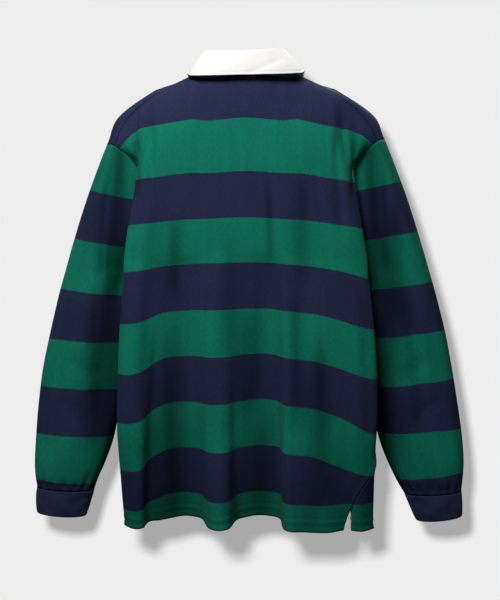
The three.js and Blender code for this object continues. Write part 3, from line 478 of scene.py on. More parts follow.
def lay_shade_and_seam(obj, painted_shade_and_seam):
    """Keeps the painted shade at each place, 0 to 1, on the outside and inside of a shell: shade of the folds
    painted into the colour, and dark seam lines.
    """
    layer = obj.data.attributes.new("painted_shade_and_seam", "FLOAT", "POINT")
    values = np.clip(painted_shade_and_seam, 0, MOST_SHADE_AND_SEAM).reshape(-1)
    layer.data.foreach_set("value", np.resize(values, len(obj.data.vertices)))


# %% From a grid to a piece of cloth
def only(obj):
    """Selects one object alone and makes it the active one."""
    bpy.ops.object.select_all(action="DESELECT")
    obj.select_set(True)
    bpy.context.view_layer.objects.active = obj


def cloth_object(name, points, across, up, thickness, closed=False):
    """A shell from rows of points in mm, with a map of cloth metres."""
    rows, count = points.shape[:2]
    spans = count if closed else count - 1
    i, j = np.meshgrid(np.arange(spans), np.arange(rows - 1))
    a = j * count + i
    b = j * count + (i + 1) % count
    faces = np.stack([a, b, b + count, a + count], axis=-1).reshape(-1, 4)
    mesh = bpy.data.meshes.new(name)
    mesh.from_pydata((points.reshape(-1, 3) / 1000).tolist(), [], faces.tolist())
    if closed:
        across = np.concatenate([across, 2 * across[:, -1:] - across[:, -2:-1]], axis=1)
        up = np.concatenate([up, up[:, :1]], axis=1)
    cloth_map = np.stack([across, up], axis=-1) / 1000
    corners = [cloth_map[j + dj, i + di] for dj, di in ((0, 0), (0, 1), (1, 1), (1, 0))]
    layer = mesh.uv_layers.new(name="cloth")
    layer.data.foreach_set("uv", np.stack(corners, axis=2).reshape(-1))
    mesh.polygons.foreach_set("use_smooth", np.ones(len(faces), bool))
    obj = into_scene(name, mesh)
    wall = obj.modifiers.new("thickness", "SOLIDIFY")
    wall.thickness = thickness / 1000
    wall.offset = -1
    wall.use_even_offset = False
    only(obj)
    bpy.ops.object.modifier_apply(modifier=wall.name)
    return obj


def dress(piece, solid, material):
    """Gives a piece its material, hides the solid that it stands for and puts the piece on the body it rides
    on.
    """
    piece.data.materials.append(material)
    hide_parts(solid)
    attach(piece, "root")


def cloth_size(points, closed=False):
    """Area, greatest width and greatest length of a grid of cloth, in metres."""
    ring = np.concatenate([points, points[:, :1]], axis=1) if closed else points
    across = np.linalg.norm(np.diff(ring, axis=1), axis=2)
    up = np.linalg.norm(np.diff(ring, axis=0), axis=2)
    diagonal_a = ring[1:, 1:] - ring[:-1, :-1]
    diagonal_b = ring[1:, :-1] - ring[:-1, 1:]
    area = np.linalg.norm(np.cross(diagonal_a, diagonal_b), axis=2).sum() / 2
    return area / 1e6, across.sum(axis=1).max() / 1000, up.sum(axis=0).max() / 1000


def measured(points, closed=False):
    area, width, length = cloth_size(points, closed)
    return f"{area:.4f} square metres, {width:.3f} m wide, {length:.3f} m long"


# %% [markdown]
# ## Stripes
# The stripes are knitted in, so they follow the cloth, not the floor: a boundary is a fixed height on the
# cloth, and it waves on screen only because the cloth does. The knit itself is far too fine to model,
# so columns of stitches and a soft unevenness of the yarn are drawn by the material, at their real size.
# The material also reads the painted shade that is kept at the cloth's points, and is darker there: shade of
# the folds painted into the colour, and dark seam lines.

# %% Small parts of a material
def node(tree, kind, **inputs):
    made = tree.nodes.new(kind)
    for name, value in inputs.items():
        made.inputs[name].default_value = value
    return made


def math_node(tree, operation, first, second=None):
    made = tree.nodes.new("ShaderNodeMath")
    made.operation = operation
    for socket, value in zip(made.inputs, (first, second)):
        if value is None:
            continue
        if isinstance(value, (int, float)):
            socket.default_value = value
        else:
            tree.links.new(value, socket)
    return made.outputs[0]


def plus(tree, first, second):
    return math_node(tree, "ADD", first, second)


def minus(tree, first, second):
    return math_node(tree, "SUBTRACT", first, second)


def times(tree, first, second):
    return math_node(tree, "MULTIPLY", first, second)


def wave(tree, along, length):
    """A sine wave of a length, along a value."""
    return math_node(tree, "SINE", times(tree, along, 2 * math.pi / length))


def swing(tree, noise, size):
    """A noise from 0 to 1 as a swing about 0."""
    return times(tree, minus(tree, noise, 0.5), size)


def mixed(tree, factor, first, second):
    """One colour where the factor is 0 and another where it is 1."""
    made = tree.nodes.new("ShaderNodeMix")
    made.data_type = "RGBA"
    for socket, value in ((made.inputs[0], factor), (made.inputs[6], first), (made.inputs[7], second)):
        if isinstance(value, tuple):
            socket.default_value = (*value, 1)
        else:
            tree.links.new(value, socket)
    return made.outputs[2]


def shaded(tree, color, value):
    """A colour with its brightness multiplied by a value."""
    shade = tree.nodes.new("ShaderNodeHueSaturation")
    if isinstance(color, tuple):
        shade.inputs["Color"].default_value = (*color, 1)
    else:
        tree.links.new(color, shade.inputs["Color"])
    tree.links.new(value, shade.inputs["Value"])
    return shade.outputs[0]


# %% Cloth as a material
def new_material(name):
    material = bpy.data.materials.new(name)
    material.use_nodes = True
    return material, material.node_tree


def cloth_coordinates(tree):
    """The map itself, and its across and up values in millimetres of cloth."""
    place = tree.nodes.new("ShaderNodeUVMap")
    place.uv_map = "cloth"
    apart = tree.nodes.new("ShaderNodeSeparateXYZ")
    tree.links.new(place.outputs[0], apart.inputs[0])
    return place, times(tree, apart.outputs[0], 1000.0), times(tree, apart.outputs[1], 1000.0)


def yarn_noise(tree, place, scale, up=1.0, detail=2.0):
    """Unevenness of the yarn. An up below 1 draws it out along the columns of stitches."""
    turn = tree.nodes.new("ShaderNodeMapping")
    turn.inputs["Scale"].default_value = (1.0, up, 1.0)
    tree.links.new(place.outputs[0], turn.inputs[0])
    noise = node(tree, "ShaderNodeTexNoise", Scale=scale, Detail=detail, Roughness=0.6)
    tree.links.new(turn.outputs[0], noise.inputs["Vector"])
    return noise.outputs["Fac"]


DULL = {"Specular IOR Level": 0.3, "IOR": 1.12, "Sheen Roughness": 0.45}


def finish_cloth(material, tree, color, height, bump, depth, sheen, roughness):
    """A dull surface with a small bump, whose strength and depth in metres are given, and some sheen."""
    surface = tree.nodes["Principled BSDF"]
    tree.links.new(color, surface.inputs["Base Color"])
    for socket, value in {"Roughness": roughness, "Sheen Weight": sheen, **DULL}.items():
        surface.inputs[socket].default_value = value
    relief = node(tree, "ShaderNodeBump", Strength=bump, Distance=depth)
    tree.links.new(height, relief.inputs["Height"])
    tree.links.new(relief.outputs[0], surface.inputs["Normal"])
    return material


# %% Jersey material
BODY_BOUNDS = (33.0, -39.6, -125.7, -201.0, -274.0, -350.0, -425.0, -501.0, -577.0, -655.0)
SLEEVE_BOUNDS = {
    "left": (-158.6, -243.6, -327.9, -409.3, -487.5, -567.0, -645.0),
    "right": (-142.5, -230.8, -317.0, -399.0, -480.5, -561.0, -636.0),
}
GREEN = (0.0062, 0.164, 0.105)
NAVY = (0.0195, 0.0245, 0.061)
WALE = 1.25  # mm between two columns of stitches
COURSE = 0.9  # mm between two rows
EDGE_FUZZ = 1.4  # mm that a stripe's edge wanders with the yarn


def jersey(name, bounds):
    """Striped jersey. Bounds go down the cloth, and green and navy change places at each."""
    material, tree = new_material(name)
    place, across, up = cloth_coordinates(tree)
    edge = plus(tree, up, swing(tree, yarn_noise(tree, place, 900.0, 0.5, 1.0), EDGE_FUZZ))
    below = None
    for bound in bounds:
        passed = math_node(tree, "LESS_THAN", edge, bound)
        below = passed if below is None else plus(tree, below, passed)
    stripe = mixed(tree, math_node(tree, "MODULO", below, 2.0), GREEN, NAVY)
    speck = yarn_noise(tree, place, 420.0, 0.35, 3.0)
    tone = swing(tree, speck, 0.75)
    tone = plus(tree, tone, swing(tree, yarn_noise(tree, place, 60.0, 0.08), 0.30))
    tone = plus(tree, tone, swing(tree, yarn_noise(tree, place, 9.0, 1.0, 3.0), 0.16))
    # Painted shade: the colour is darkened by the share kept at the cloth's points, in fold valleys, the
    # sleeves' inner parts and near the hem, and along dark seam lines
    painted_shade_and_seam = tree.nodes.new("ShaderNodeAttribute")
    painted_shade_and_seam.attribute_name = "painted_shade_and_seam"
    tone_under_painted_shade = times(tree, plus(tree, tone, 1.0), minus(tree, 1.0, painted_shade_and_seam.outputs["Fac"]))
    knit = plus(tree, times(tree, wave(tree, across, WALE), 0.6), times(tree, wave(tree, up, COURSE), 0.3))
    height = plus(tree, knit, times(tree, speck, 1.4))
    color = shaded(tree, stripe, tone_under_painted_shade)
    return finish_cloth(material, tree, color, height, bump=0.35, depth=0.0004, sheen=0.015, roughness=0.9)


body_jersey = jersey("body_jersey", BODY_BOUNDS)
sleeve_jersey = {side: jersey(f"sleeve_jersey_{side}", SLEEVE_BOUNDS[side]) for side in SLEEVE_BOUNDS}
print("materials:", body_jersey.name, *(m.name for m in sleeve_jersey.values()))

# %% [markdown]
# ## The two body panels
# On the real shirt each panel is cut flat, and is sewn to the other at the sides and shoulders. Here a
# panel is read from the hanging form on 200 places across and about 190 levels, with exact rows at the
# hem, the vent and the shoulder seam, so that its edges meet its neighbours' edges.

# %% Where a panel's columns end
ACROSS_STEPS = 200
NEAR_SEAM = 1 - (1 - 12 / 13) ** 1.3  # the rise of the last level under the shoulder seam
# Height of the cut at a panel's top edge: -1 is the neck's middle, 0 its corner, 1 the sleeve's tip
CUT_TOP = {
    "back": table("along left right", (-1, 36, 36), (0, 38, 38), (0.3, 24, 26), (0.47, 15, 18), (1, 25, 24)),
    "front": table(
        "along left right",
        (-1, -28, -28), (-0.55, 6, 6), (0, 46, 48), (0.2, 31, 42), (0.5, 22, 32), (1, 6, 12)),
}


def fold_places(face):
    """Places of a face's folds, from -1 at the side that it is read from to 1 at the other."""
    return folds_of(face, "across") * -FIRST_SIDE[face]


def along_top(face, across):
    """For each place across a panel, where its column ends on CUT_TOP's scale, and its side, -1 or 1."""
    knots, total, first = KNOTS[face], LENGTH[face], FIRST_SIDE[face]
    fine = np.linspace(-1, 1, 801)
    k = across * total
    a = np.interp(k, smooth(fold_places(face), knots[2:-2], fine), fine)
    share = np.abs(a)
    inner = np.where(share < CENTRE, share / CENTRE - 1, (share - CENTRE) / (1 - CENTRE) * FOLD_ON_SEAM)
    from_end = np.minimum(k, total - k)
    edge_one = np.where(k < total / 2, knots[1], total - knots[-2])
    edge_two = np.where(k < total / 2, knots[2], total - knots[-3])
    turned = mix(1, TURN_ON_SEAM, clamp(from_end / edge_one))
    folded = mix(TURN_ON_SEAM, FOLD_ON_SEAM, clamp((from_end - edge_one) / (edge_two - edge_one)))
    outer = np.where(from_end < edge_one, turned, folded)
    return np.where(from_end < edge_two, outer, inner), np.where(a < 0, first, -first)


def seam_places(face, across):
    """Where each place across a panel ends at the top: on the shoulder seam or the neckline."""
    places = []
    for along, side in zip(*along_top(face, across)):
        if along < 0:
            places.append(neckline(side * mix(MIDDLE_TURN[face], NECK["seam_turn"], along + 1)))
        else:
            places.append(shoulder_seam(side, along))
    return np.array(places)


def panel_places(face):
    """Places across a panel, with one exactly where the neck meets the shoulder seam."""
    corner = smooth(fold_places(face), KNOTS[face][2:-2], np.array([-CENTRE, CENTRE])) / LENGTH[face]
    counts = [round(ACROSS_STEPS * corner[0]), round(ACROSS_STEPS * (corner[1] - corner[0]))]
    counts.append(ACROSS_STEPS - sum(counts))
    ends = [0.0, corner[0], corner[1], 1.0]
    parts = [np.linspace(ends[k], ends[k + 1], counts[k] + 1)[:-1] for k in range(3)]
    return np.concatenate([*parts, [1.0]])


# %% Panel grids
# How far the stripes hang lower at the sides than in the middle, by height of the cut
SIDE_SAG = table(
    "height left right",
    (-268, 0, 0), (-290, 8, 14), (-350, 11, 16), (-425, 17, 21), (-501, 18, 25), (-577, 25, 44),
    (-655, 13, -6), (-700, 6, -6))
SAG_START = {"left": 0.55, "right": 0.42}  # share of the way out where they begin to hang lower
SAG_SPAN = {"left": 0.24, "right": 0.58}  # and how far from there it takes them to do so in full
BODY_HALF = 226  # mm from the middle to the side
ROWS = {"hem": 9, "vent": 7, "low": 96, "high": 72, "top": 7}  # of each part of a panel


def panel_levels():
    tall = UNDERARM_HEIGHT - HEM_HEIGHT
    hem = np.linspace(0, HEM_TURN_UP, ROWS["hem"]) / tall
    vent = np.linspace(HEM_TURN_UP, VENT["height"], ROWS["vent"])[1:] / tall
    low = np.linspace(VENT["height"] / tall, 1, ROWS["low"])[1:]
    high = 1 + np.linspace(0, NEAR_SEAM, ROWS["high"])[1:]
    top = 1 + np.linspace(NEAR_SEAM, 1, ROWS["top"])[1:]
    return np.concatenate([hem, vent, low, high, top])


def panel_grid(face):
    """A panel's points, and the across and up values of its map."""
    across, levels = panel_places(face), panel_levels()
    seam = seam_places(face, across)
    near = panel_row(face, across, 1 + NEAR_SEAM)
    along, side = along_top(face, across)
    cut_top = read_side(CUT_TOP[face], along, side)
    rows, up = [], []
    for level in levels:
        rise = level - 1
        if rise > NEAR_SEAM:
            rows.append(mix(near, seam, (rise - NEAR_SEAM) / (1 - NEAR_SEAM)))
        else:
            rows.append(panel_row(face, across, level))
        if rise <= 0:
            height = mix(HEM_HEIGHT, UNDERARM_HEIGHT, level)
            out = np.abs(rows[-1][:, 0]) / BODY_HALF
            hanging = ease((out - of_side(SAG_START, side)) / of_side(SAG_SPAN, side))
            up.append(height + read_side(SIDE_SAG, height, side) * hanging)
        else:
            up.append(mix(UNDERARM_HEIGHT, cut_top, rise))
    across_map = np.repeat(across[None] * LENGTH[face], len(levels), axis=0)
    if face == "front":
        across_map = across_map + LENGTH["back"]
    return np.array(rows), across_map, np.array(up)


panel_grids = {face: panel_grid(face) for face in ("back", "front")}
for face, (points, across_map, up_map) in panel_grids.items():
    print(face, points.shape, measured(points))

# %% [markdown]
# ## Creases of the body
# Main creases are pressed in, each with its own place, width and depth in millimetres, as they are seen
# from behind. A depth below 0 is a ridge. At the shoulders the cloth is pinched where the ends of the
# hidden support are, long soft troughs fall from there, and the sides hang in folds of their own.

# %% Creases of the body
BACK_CREASES = [
    # x0, z0, x1, z1, width, depth, bow
    (-168, -14, -172, -100, 5, -4.4, 3),
    (-155, -24, -166, -230, 8, 5.0, -4),
    (-182, -60, -176, -190, 6, 3.0, 3),
    (-120, -60, -128, -330, 16, 1.6, 6),
    (-84, -40, -92, -380, 22, 1.3, -5),
    (-40, -90, -46, -420, 26, 1.0, 4),
    (36, -60, 38, -460, 15, 1.8, 3),
    (84, -70, 88, -470, 14, 1.9, -4),
    (60, -100, 64, -440, 13, -1.4, 2),
    (120, -60, 128, -330, 18, 1.5, 5),
    (162, -44, 172, -130, 6, -3.6, -3),
    (148, -40, 164, -250, 9, 3.6, 5),
    (178, -70, 174, -190, 6, 3.4, -3),
    (-190, -300, -196, -620, 13, 2.2, 5),
    (-150, -430, -140, -560, 14, -1.5, -6),
    (190, -330, 196, -640, 12, 2.4, -5),
    (-170, -560, -120, -640, 16, 1.6, 10),
    (10, -470, 30, -600, 16, 1.2, 8),
    (-20, -520, -70, -600, 14, 1.2, -8),
    (150, -500, 120, -620, 16, 1.4, 8),
    (-130, -250, -60, -300, 22, 0.9, 8),
    (130, -260, 60, -320, 22, 0.8, -8),
    (-146, -360, -162, -880, 8, 6.0, 0),
    (-166, -420, -180, -880, 9, -3.0, 0),
    (-80, -480, -76, -880, 9, 3.4, -2),
    (-18, -420, -14, -880, 10, 3.2, 0),
    (47, -400, 50, -880, 8, 6.5, 0),
    (66, -440, 68, -880, 9, -3.4, 0),
    (108, -400, 116, -880, 14, 2.6, 3),
    (-120, -360, -118, -880, 16, 2.6, -4),
    (24, -300, 26, -560, 10, 1.6, 3),
]
FRONT_CREASES = [
    (-150, -30, -158, -230, 11, 3.0, 5),
    (-108, -50, -116, -340, 18, 1.7, -6),
    (-58, -120, -50, -420, 20, 1.4, 5),
    (54, -110, 50, -430, 19, 1.6, -5),
    (104, -50, 116, -350, 17, 1.8, 6),
    (150, -34, 160, -240, 11, 2.8, -5),
    (20, -190, 60, -300, 18, 1.6, 10),
    (-20, -192, -66, -310, 18, 1.5, -9),
    (-176, -300, -180, -620, 13, 2.2, 5),
    (176, -320, 182, -640, 13, 2.3, -5),
    (-120, -540, -70, -630, 16, 1.5, 9),
    (90, -520, 40, -610, 15, 1.4, -8),
    (-60, -60, -40, -150, 12, 1.3, 4),
    (62, -60, 44, -160, 12, 1.4, -4),
]
print("creases:", len(BACK_CREASES), "on the back,", len(FRONT_CREASES), "on the front")

# %% [markdown]
# ## Painted shade in the folds
# The valleys of the folds are darker than the cloth's slope alone makes them under this light, so their
# shade is painted into the jersey's colour. A harder light would do the same to the folds but burn out
# the white collar. So each valley has a soft stroke of painted shade, in the same terms as a crease,
# whose depth is the share of light that it takes. The strokes are kept at the cloth's points, and the
# jersey reads them from there.

# %% Strokes of painted shade
# Painted shade in the valleys of the folds, in the same terms as a crease, depth as a share of light
BACK_PAINTED_SHADE = [
    (-114, -180, -122, -350, 13, 0.42, 0),
    (-150, -160, -152, -330, 14, 0.20, 0),
    (-27, -190, -30, -470, 12, 0.26, 0),
    (36, -120, 40, -300, 7, 0.34, 0),
    (90, -110, 92, -330, 12, 0.34, 0),
    (-176, -30, -186, -190, 8, 0.36, 0),
    (174, -20, 186, -210, 11, 0.42, 0),
    (-124, -330, -116, -1000, 28, 0.62, 0),
    (-150, -400, -146, -1000, 10, 0.30, 0),
    (4, -330, 6, -560, 20, 0.26, 0),
    (26, -440, 26, -1000, 24, 0.52, 0),
    (78, -300, 84, -560, 13, 0.36, 0),
    (118, -360, 124, -700, 17, 0.50, 0),
    (100, -560, 112, -1000, 26, 0.24, 0),
]
# Painted shade in the valleys of the front's folds, in the same terms
FRONT_PAINTED_SHADE = [
    (-118, -180, -124, -400, 15, 0.34, 0),
    (60, -220, 54, -470, 14, 0.30, 0),
    (128, -160, 132, -420, 15, 0.34, 0),
    (-176, -30, -186, -210, 10, 0.36, 0),
    (174, -30, 186, -210, 10, 0.36, 0),
    (-98, -400, -104, -1000, 26, 0.5, 0),
    (84, -420, 78, -1000, 24, 0.5, 0),
]
# Painted shade: the cloth near the hem is a little darker, where the light falls off lower down
HEM_PAINTED_SHADE = {"share": 0.2, "start": -560.0, "span": 130.0}  # the whole hem is a little darker
SEAM_LINE = {"inside": 9.0, "width": 1.9, "share": 0.5}  # the line of stitches beside a shoulder seam
SEAM_ENDS = {"neck": 0.02, "neck_fade": 0.1, "tip": 0.99, "tip_fade": 0.03}  # as shares of the seam


def shoulder_line(points, face):
    """How near each place is to the line of stitches beside the shoulder seams, 0 to 1."""
    steps = np.linalg.norm(np.diff(points, axis=0), axis=2)
    to_edge = np.zeros(points.shape[:2])
    to_edge[:-1] = np.cumsum(steps[::-1], axis=0)[::-1]
    along, _ = along_top(face, panel_places(face))
    from_neck = ease((along - SEAM_ENDS["neck"]) / SEAM_ENDS["neck_fade"])
    here = from_neck * ease((SEAM_ENDS["tip"] - along) / SEAM_ENDS["tip_fade"])
    return np.exp(-((to_edge - SEAM_LINE["inside"]) / SEAM_LINE["width"]) ** 2) * here[None]


def panel_shade_and_seam(face, strokes):
    """Painted shade of a panel along each stroke and a little near the hem, and a dark line along the
    shoulder seams.
    """
    points = panel_grids[face][0]
    painted_shade_and_seam = crease_depth(points, normals_of(points, False), strokes, FACING[face])
    painted_shade_and_seam = painted_shade_and_seam + SEAM_LINE["share"] * shoulder_line(points, face)
    low = ease((HEM_PAINTED_SHADE["start"] - points[..., 2]) / HEM_PAINTED_SHADE["span"])
    return painted_shade_and_seam + HEM_PAINTED_SHADE["share"] * low * (1 - clamp(painted_shade_and_seam))


shades_and_seams = {"back": panel_shade_and_seam("back", BACK_PAINTED_SHADE), "front": panel_shade_and_seam("front", FRONT_PAINTED_SHADE)}
print("mean nap:", {face: round(float(painted_shade_and_seam.mean()), 3) for face, painted_shade_and_seam in shades_and_seams.items()})

# %% [markdown]
# ## Shaping the panels
# A panel's grid is first evened out a little, then takes its creases, a slow unevenness of the hanging
# cloth, and the relief of its turned hem, where each stitch line draws the cloth in. All but the hem's
# relief fades out at the panel's edges, so that the seams stay closed.

# %% Shaping the panels
HEM_STITCHES = (10.0, 21.0)  # mm above the hem's edge
STITCH_TROUGH = {"width": 2.2, "depth": 0.9}
HEM_BULGE = {"out": 0.5, "past": 3.0, "fade": 5.0}
EVEN_OUT = {"passes": 14, "edge": 5}
CREASE_EDGE = 6  # rows and columns over which the creases fade at a panel's edges
RIPPLE = {"waves": 9, "wide": (60, 170), "tall": (150, 420), "lean": (-0.3, 0.3), "size": (0.12, 0.34)}


def level_heights():
    """Height above the hem's edge of each row of a panel."""
    return panel_levels() * (UNDERARM_HEIGHT - HEM_HEIGHT)


def hem_relief():
    """How far the turned hem stands out at each row, with a trough along each stitch line."""
    above = level_heights()
    relief = HEM_BULGE["out"] * ease((HEM_TURN_UP + HEM_BULGE["past"] - above) / HEM_BULGE["fade"])
    for line in HEM_STITCHES:
        relief = relief - STITCH_TROUGH["depth"] * np.exp(-((above - line) / STITCH_TROUGH["width"]) ** 2)
    return relief


def ripple(across_map, up_map, seed):
    """Slow unevenness of the hanging cloth, from a few long waves."""
    draw = random.Random(seed)
    total = np.zeros(up_map.shape)
    for _ in range(RIPPLE["waves"]):
        wide, tall = draw.uniform(*RIPPLE["wide"]), draw.uniform(*RIPPLE["tall"])
        lean = draw.uniform(*RIPPLE["lean"])
        start = draw.uniform(0, 2 * math.pi)
        size = draw.uniform(*RIPPLE["size"])
        over = np.sin(2 * math.pi * (across_map / wide + lean * up_map / tall) + start)
        total += size * over * np.cos(2 * math.pi * up_map / tall + 1.7 * start)
    return total


def near_edges(points, reach):
    """1 inside a cloth and 0 along its sides and its top row, over this many rows and columns."""
    rows, count = points.shape[:2]
    i = np.minimum(np.arange(count), count - 1 - np.arange(count)) / reach
    j = np.minimum(np.arange(rows) + reach, rows - 1 - np.arange(rows)) / reach
    return ease(j)[:, None] * ease(i)[None]


def relaxed(points):
    """Evens out a grid's rows and columns a little, except at its edges."""
    keep = near_edges(points, EVEN_OUT["edge"])[..., None]
    points = points.copy()
    for _ in range(EVEN_OUT["passes"]):
        wide = (points[:, :-2] + points[:, 2:]) / 2
        tall = (points[:-2] + points[2:]) / 2
        even = points.copy()
        even[1:-1, 1:-1] = (wide[1:-1] + tall[:, 1:-1]) / 2
        points = mix(points, even, 0.5 * keep)
    return points


def shaped_panel(face, creases, seed):
    points, across_map, up_map = panel_grids[face]
    points = relaxed(points)
    normals = normals_of(points, False)
    moved = press(points, normals, creases, FACING[face])
    moved = moved - normals * ripple(across_map, up_map, seed)[..., None]
    moved = points + (moved - points) * near_edges(points, CREASE_EDGE)[..., None]
    return moved + normals * hem_relief()[:, None, None], across_map, up_map


shaped = {"back": shaped_panel("back", BACK_CREASES, 3), "front": shaped_panel("front", FRONT_CREASES, 5)}
body = {}
for face in ("back", "front"):
    body[face] = cloth_object(f"{face}_cloth", *shaped[face], CLOTH)
    lay_shade_and_seam(body[face], shades_and_seams[face])
    dress(body[face], f"{face}_panel", body_jersey)
    print(body[face].name, len(body[face].data.polygons), "faces")

# %% [markdown]
# ## The sleeves
# A sleeve is one piece of jersey, sewn into a tube along the underarm and set into the armhole. It is
# read round its sections, which are wide and flat and get rounder towards the wrist, where the cloth is
# gathered into the cuff. It hangs from the dropped shoulder, with long folds that start at the armhole.

# %% Sleeve form
SLEEVE_SECTIONS = {
    "left": table(
        "z outer inner y half tilt",
        (-345, 318, 188, 9, 43, 14), (-400, 331, 197, 9, 41, 10), (-460, 343.5, 206, 9, 39, 8),
        (-520, 351, 214, 8, 36, 6), (-580, 355.5, 226, 7, 33, 5), (-620, 357, 241, 6, 31, 5),
        (-645, 355.5, 252, 5, 28, 5), (-659, 353, 256.5, 5, 25, 5)),
    "right": table(
        "z outer inner y half tilt",
        (-345, 323, 190, 9, 43, 14), (-400, 337, 199, 9, 41, 10), (-460, 348.5, 206, 9, 39, 8),
        (-520, 358, 214, 8, 36, 6), (-580, 366, 227, 7, 33, 5), (-620, 368, 243, 6, 31, 5),
        (-648, 366, 257, 5, 28, 5), (-666, 364, 268, 5, 25, 5)),
}
CUFF_SECTIONS = {
    "left": table(
        "z outer inner y half tilt",
        (-659.5, 353, 256.5, 5, 25, 5), (-672, 353.5, 261, 5, 25, 5), (-688, 353.5, 266, 5, 24.5, 5),
        (-702, 353, 270, 5, 24, 6)),
    "right": table(
        "z outer inner y half tilt",
        (-666.5, 364, 268, 5, 25, 5), (-680, 364, 275, 5, 25, 6), (-696, 364.5, 282, 5, 24.5, 7),
        (-709, 365, 287.5, 5, 24, 8)),
}
SLEEVE_FOLDS = {
    # round, width, depth, from, to
    "left": [(0.17, 0.07, 7, -150, -560), (0.36, 0.06, 5, -240, -640), (0.72, 0.08, 7, -180, -600)],
    "right": [(0.16, 0.07, 6, -170, -520), (0.3, 0.06, 6, -200, -640), (0.74, 0.08, 7, -180, -600)],
}
FOLD_FADE = 70.0  # mm over which a fold of a sleeve begins and ends
SLEEVE_BULGE = 6.0  # how far a sleeve stands out between its armhole and its first section
SLEEVE_CLEAR = 5.0  # how far its inner side keeps off the body there
SLEEVE_TOP = -345.0  # height of its first section
SIDES = {"left": -1, "right": 1}


def section(rows, side, around, z):
    angle = around * 2 * math.pi
    outer, inner = read(rows, z, "outer"), read(rows, z, "inner")
    x = (outer + inner) / 2 - (outer - inner) / 2 * np.cos(angle)
    y = read(rows, z, "y") - read(rows, z, "half") * np.sin(angle)
    return np.stack([side * x, y, z - read(rows, z, "tilt") / 2 * np.cos(angle)], axis=-1)


def way_round(around, at):
    """How far apart two places of a tube are, as a share of the way round it."""
    return np.abs(np.mod(around - at + 1.5, 1) - 0.5)


def sleeve_row(name, around, down):
    """Points round a sleeve. Around: 0 inner edge, 0.25 back, 0.5 outer edge. Down: 0 at the armhole,
    1 at the first plain section, 2 at the cuff."""
    side, rows = SIDES[name], SLEEVE_SECTIONS[name]
    angle = around * 2 * math.pi
    if down >= 1:
        points = section(rows, side, around, mix(SLEEVE_TOP, rows["z"][0], down - 1))
    else:
        behind = armhole(side, "back", np.minimum(around, 0.5) / 0.5)
        before = armhole(side, "front", (1 - np.maximum(around, 0.5)) / 0.5)
        start = np.where((around <= 0.5)[:, None], behind, before)
        points = mix(start, section(rows, side, around, SLEEVE_TOP), down)
        facing = -np.cos(angle)
        push = np.where(facing > 0, SLEEVE_BULGE, -SLEEVE_CLEAR) * facing * 4 * down * (1 - down)
        points[:, 0] += side * push
    for at, wide, deep, high, low in SLEEVE_FOLDS[name]:
        apart = way_round(around, at) / wide
        along = ease((high - points[:, 2]) / FOLD_FADE) * ease((points[:, 2] - low) / FOLD_FADE)
        inward = deep * np.exp(-apart * apart) * along * ease(down * 2)
        points[:, 0] += side * inward * np.cos(angle)
        points[:, 1] += inward * np.sin(angle)
    return points


print("folds of the sleeves:", {name: len(folds) for name, folds in SLEEVE_FOLDS.items()})

# %% Gathers, creases and painted shade of the sleeves
# Gathers above each cuff: place round it, length up the sleeve, width as a share of the way round, depth
GATHERS = {
    "left": [(0.06, 26, 0.016, 2.0), (0.13, 40, 0.018, 2.4), (0.19, 22, 0.014, 1.6), (0.25, 34, 0.018, 2.2),
             (0.32, 24, 0.015, 1.8), (0.37, 46, 0.02, 2.6), (0.42, 30, 0.015, 2.2), (0.47, 38, 0.018, 2.2),
             (0.55, 28, 0.016, 2.0), (0.62, 40, 0.018, 2.4), (0.7, 24, 0.016, 1.8), (0.77, 44, 0.02, 2.4),
             (0.85, 30, 0.016, 2.0), (0.93, 36, 0.018, 2.2)],
    "right": [(0.05, 50, 0.02, 3.0), (0.11, 38, 0.018, 2.6), (0.17, 28, 0.015, 2.0), (0.23, 44, 0.018, 2.4),
              (0.29, 24, 0.014, 1.8), (0.34, 36, 0.016, 2.2), (0.4, 26, 0.015, 2.0), (0.46, 34, 0.018, 2.2),
              (0.54, 30, 0.016, 2.0), (0.61, 42, 0.02, 2.4), (0.69, 26, 0.015, 1.8), (0.76, 38, 0.018, 2.4),
              (0.84, 28, 0.016, 2.0), (0.92, 40, 0.02, 2.6)],
}
SLEEVE_CREASES = {
    "left": [
        (-224, -104, -238, -340, 8, 6.2, 4), (-210, -150, -214, -330, 8, -2.2, -2),
        (-250, -140, -268, -330, 12, -2.0, 3), (-268, -320, -300, -600, 13, 4.2, 6),
        (-300, -330, -326, -520, 10, 1.6, -4), (-232, -330, -262, -540, 11, -1.8, 4),
        (-300, -430, -240, -470, 14, 1.8, 6), (-330, -500, -262, -560, 15, 1.6, -8),
        (-210, -270, -262, -300, 14, 1.8, -5)],
    "right": [
        (228, -104, 242, -330, 9, 5.0, -4), (204, -140, 212, -330, 8, -2.2, 3),
        (254, -130, 276, -330, 12, -2.0, -3), (262, -310, 300, -600, 13, 4.2, -5),
        (306, -320, 334, -520, 10, 1.6, 4), (236, -340, 262, -540, 11, -1.8, -4),
        (306, -430, 246, -480, 14, 1.6, -6), (336, -500, 270, -570, 15, 1.8, 8),
        (214, -270, 268, -300, 14, 1.8, 5)],
}
# Painted shade on the inner, fallen in part of each sleeve, and the dark line of the underarm seam
SLEEVE_SHADE_AND_SEAM = {
    "left": [(-202, 20, -226, -360, 15, 0.6, 0), (-218, -200, -236, -640, 24, 0.6, 0),
             (-250, -300, -262, -620, 14, 0.36, 0), (-200, -450, -256, -690, 3.0, 0.6, 2),
             (-236, -60, -262, -290, 22, 0.24, 0), (-290, -560, -300, -800, 40, 0.12, 0)],
    "right": [(196, 20, 224, -360, 17, 0.62, 0), (224, -180, 242, -700, 26, 0.6, 0),
              (240, -120, 262, -420, 15, 0.4, 0), (250, -60, 280, -240, 22, 0.12, 0),
              (296, -560, 310, -800, 40, 0.12, 0)],
}
GATHER_STRENGTH = 1.5  # all gathers are this much deeper than listed
print("gathers:", {name: len(gathers) for name, gathers in GATHERS.items()})


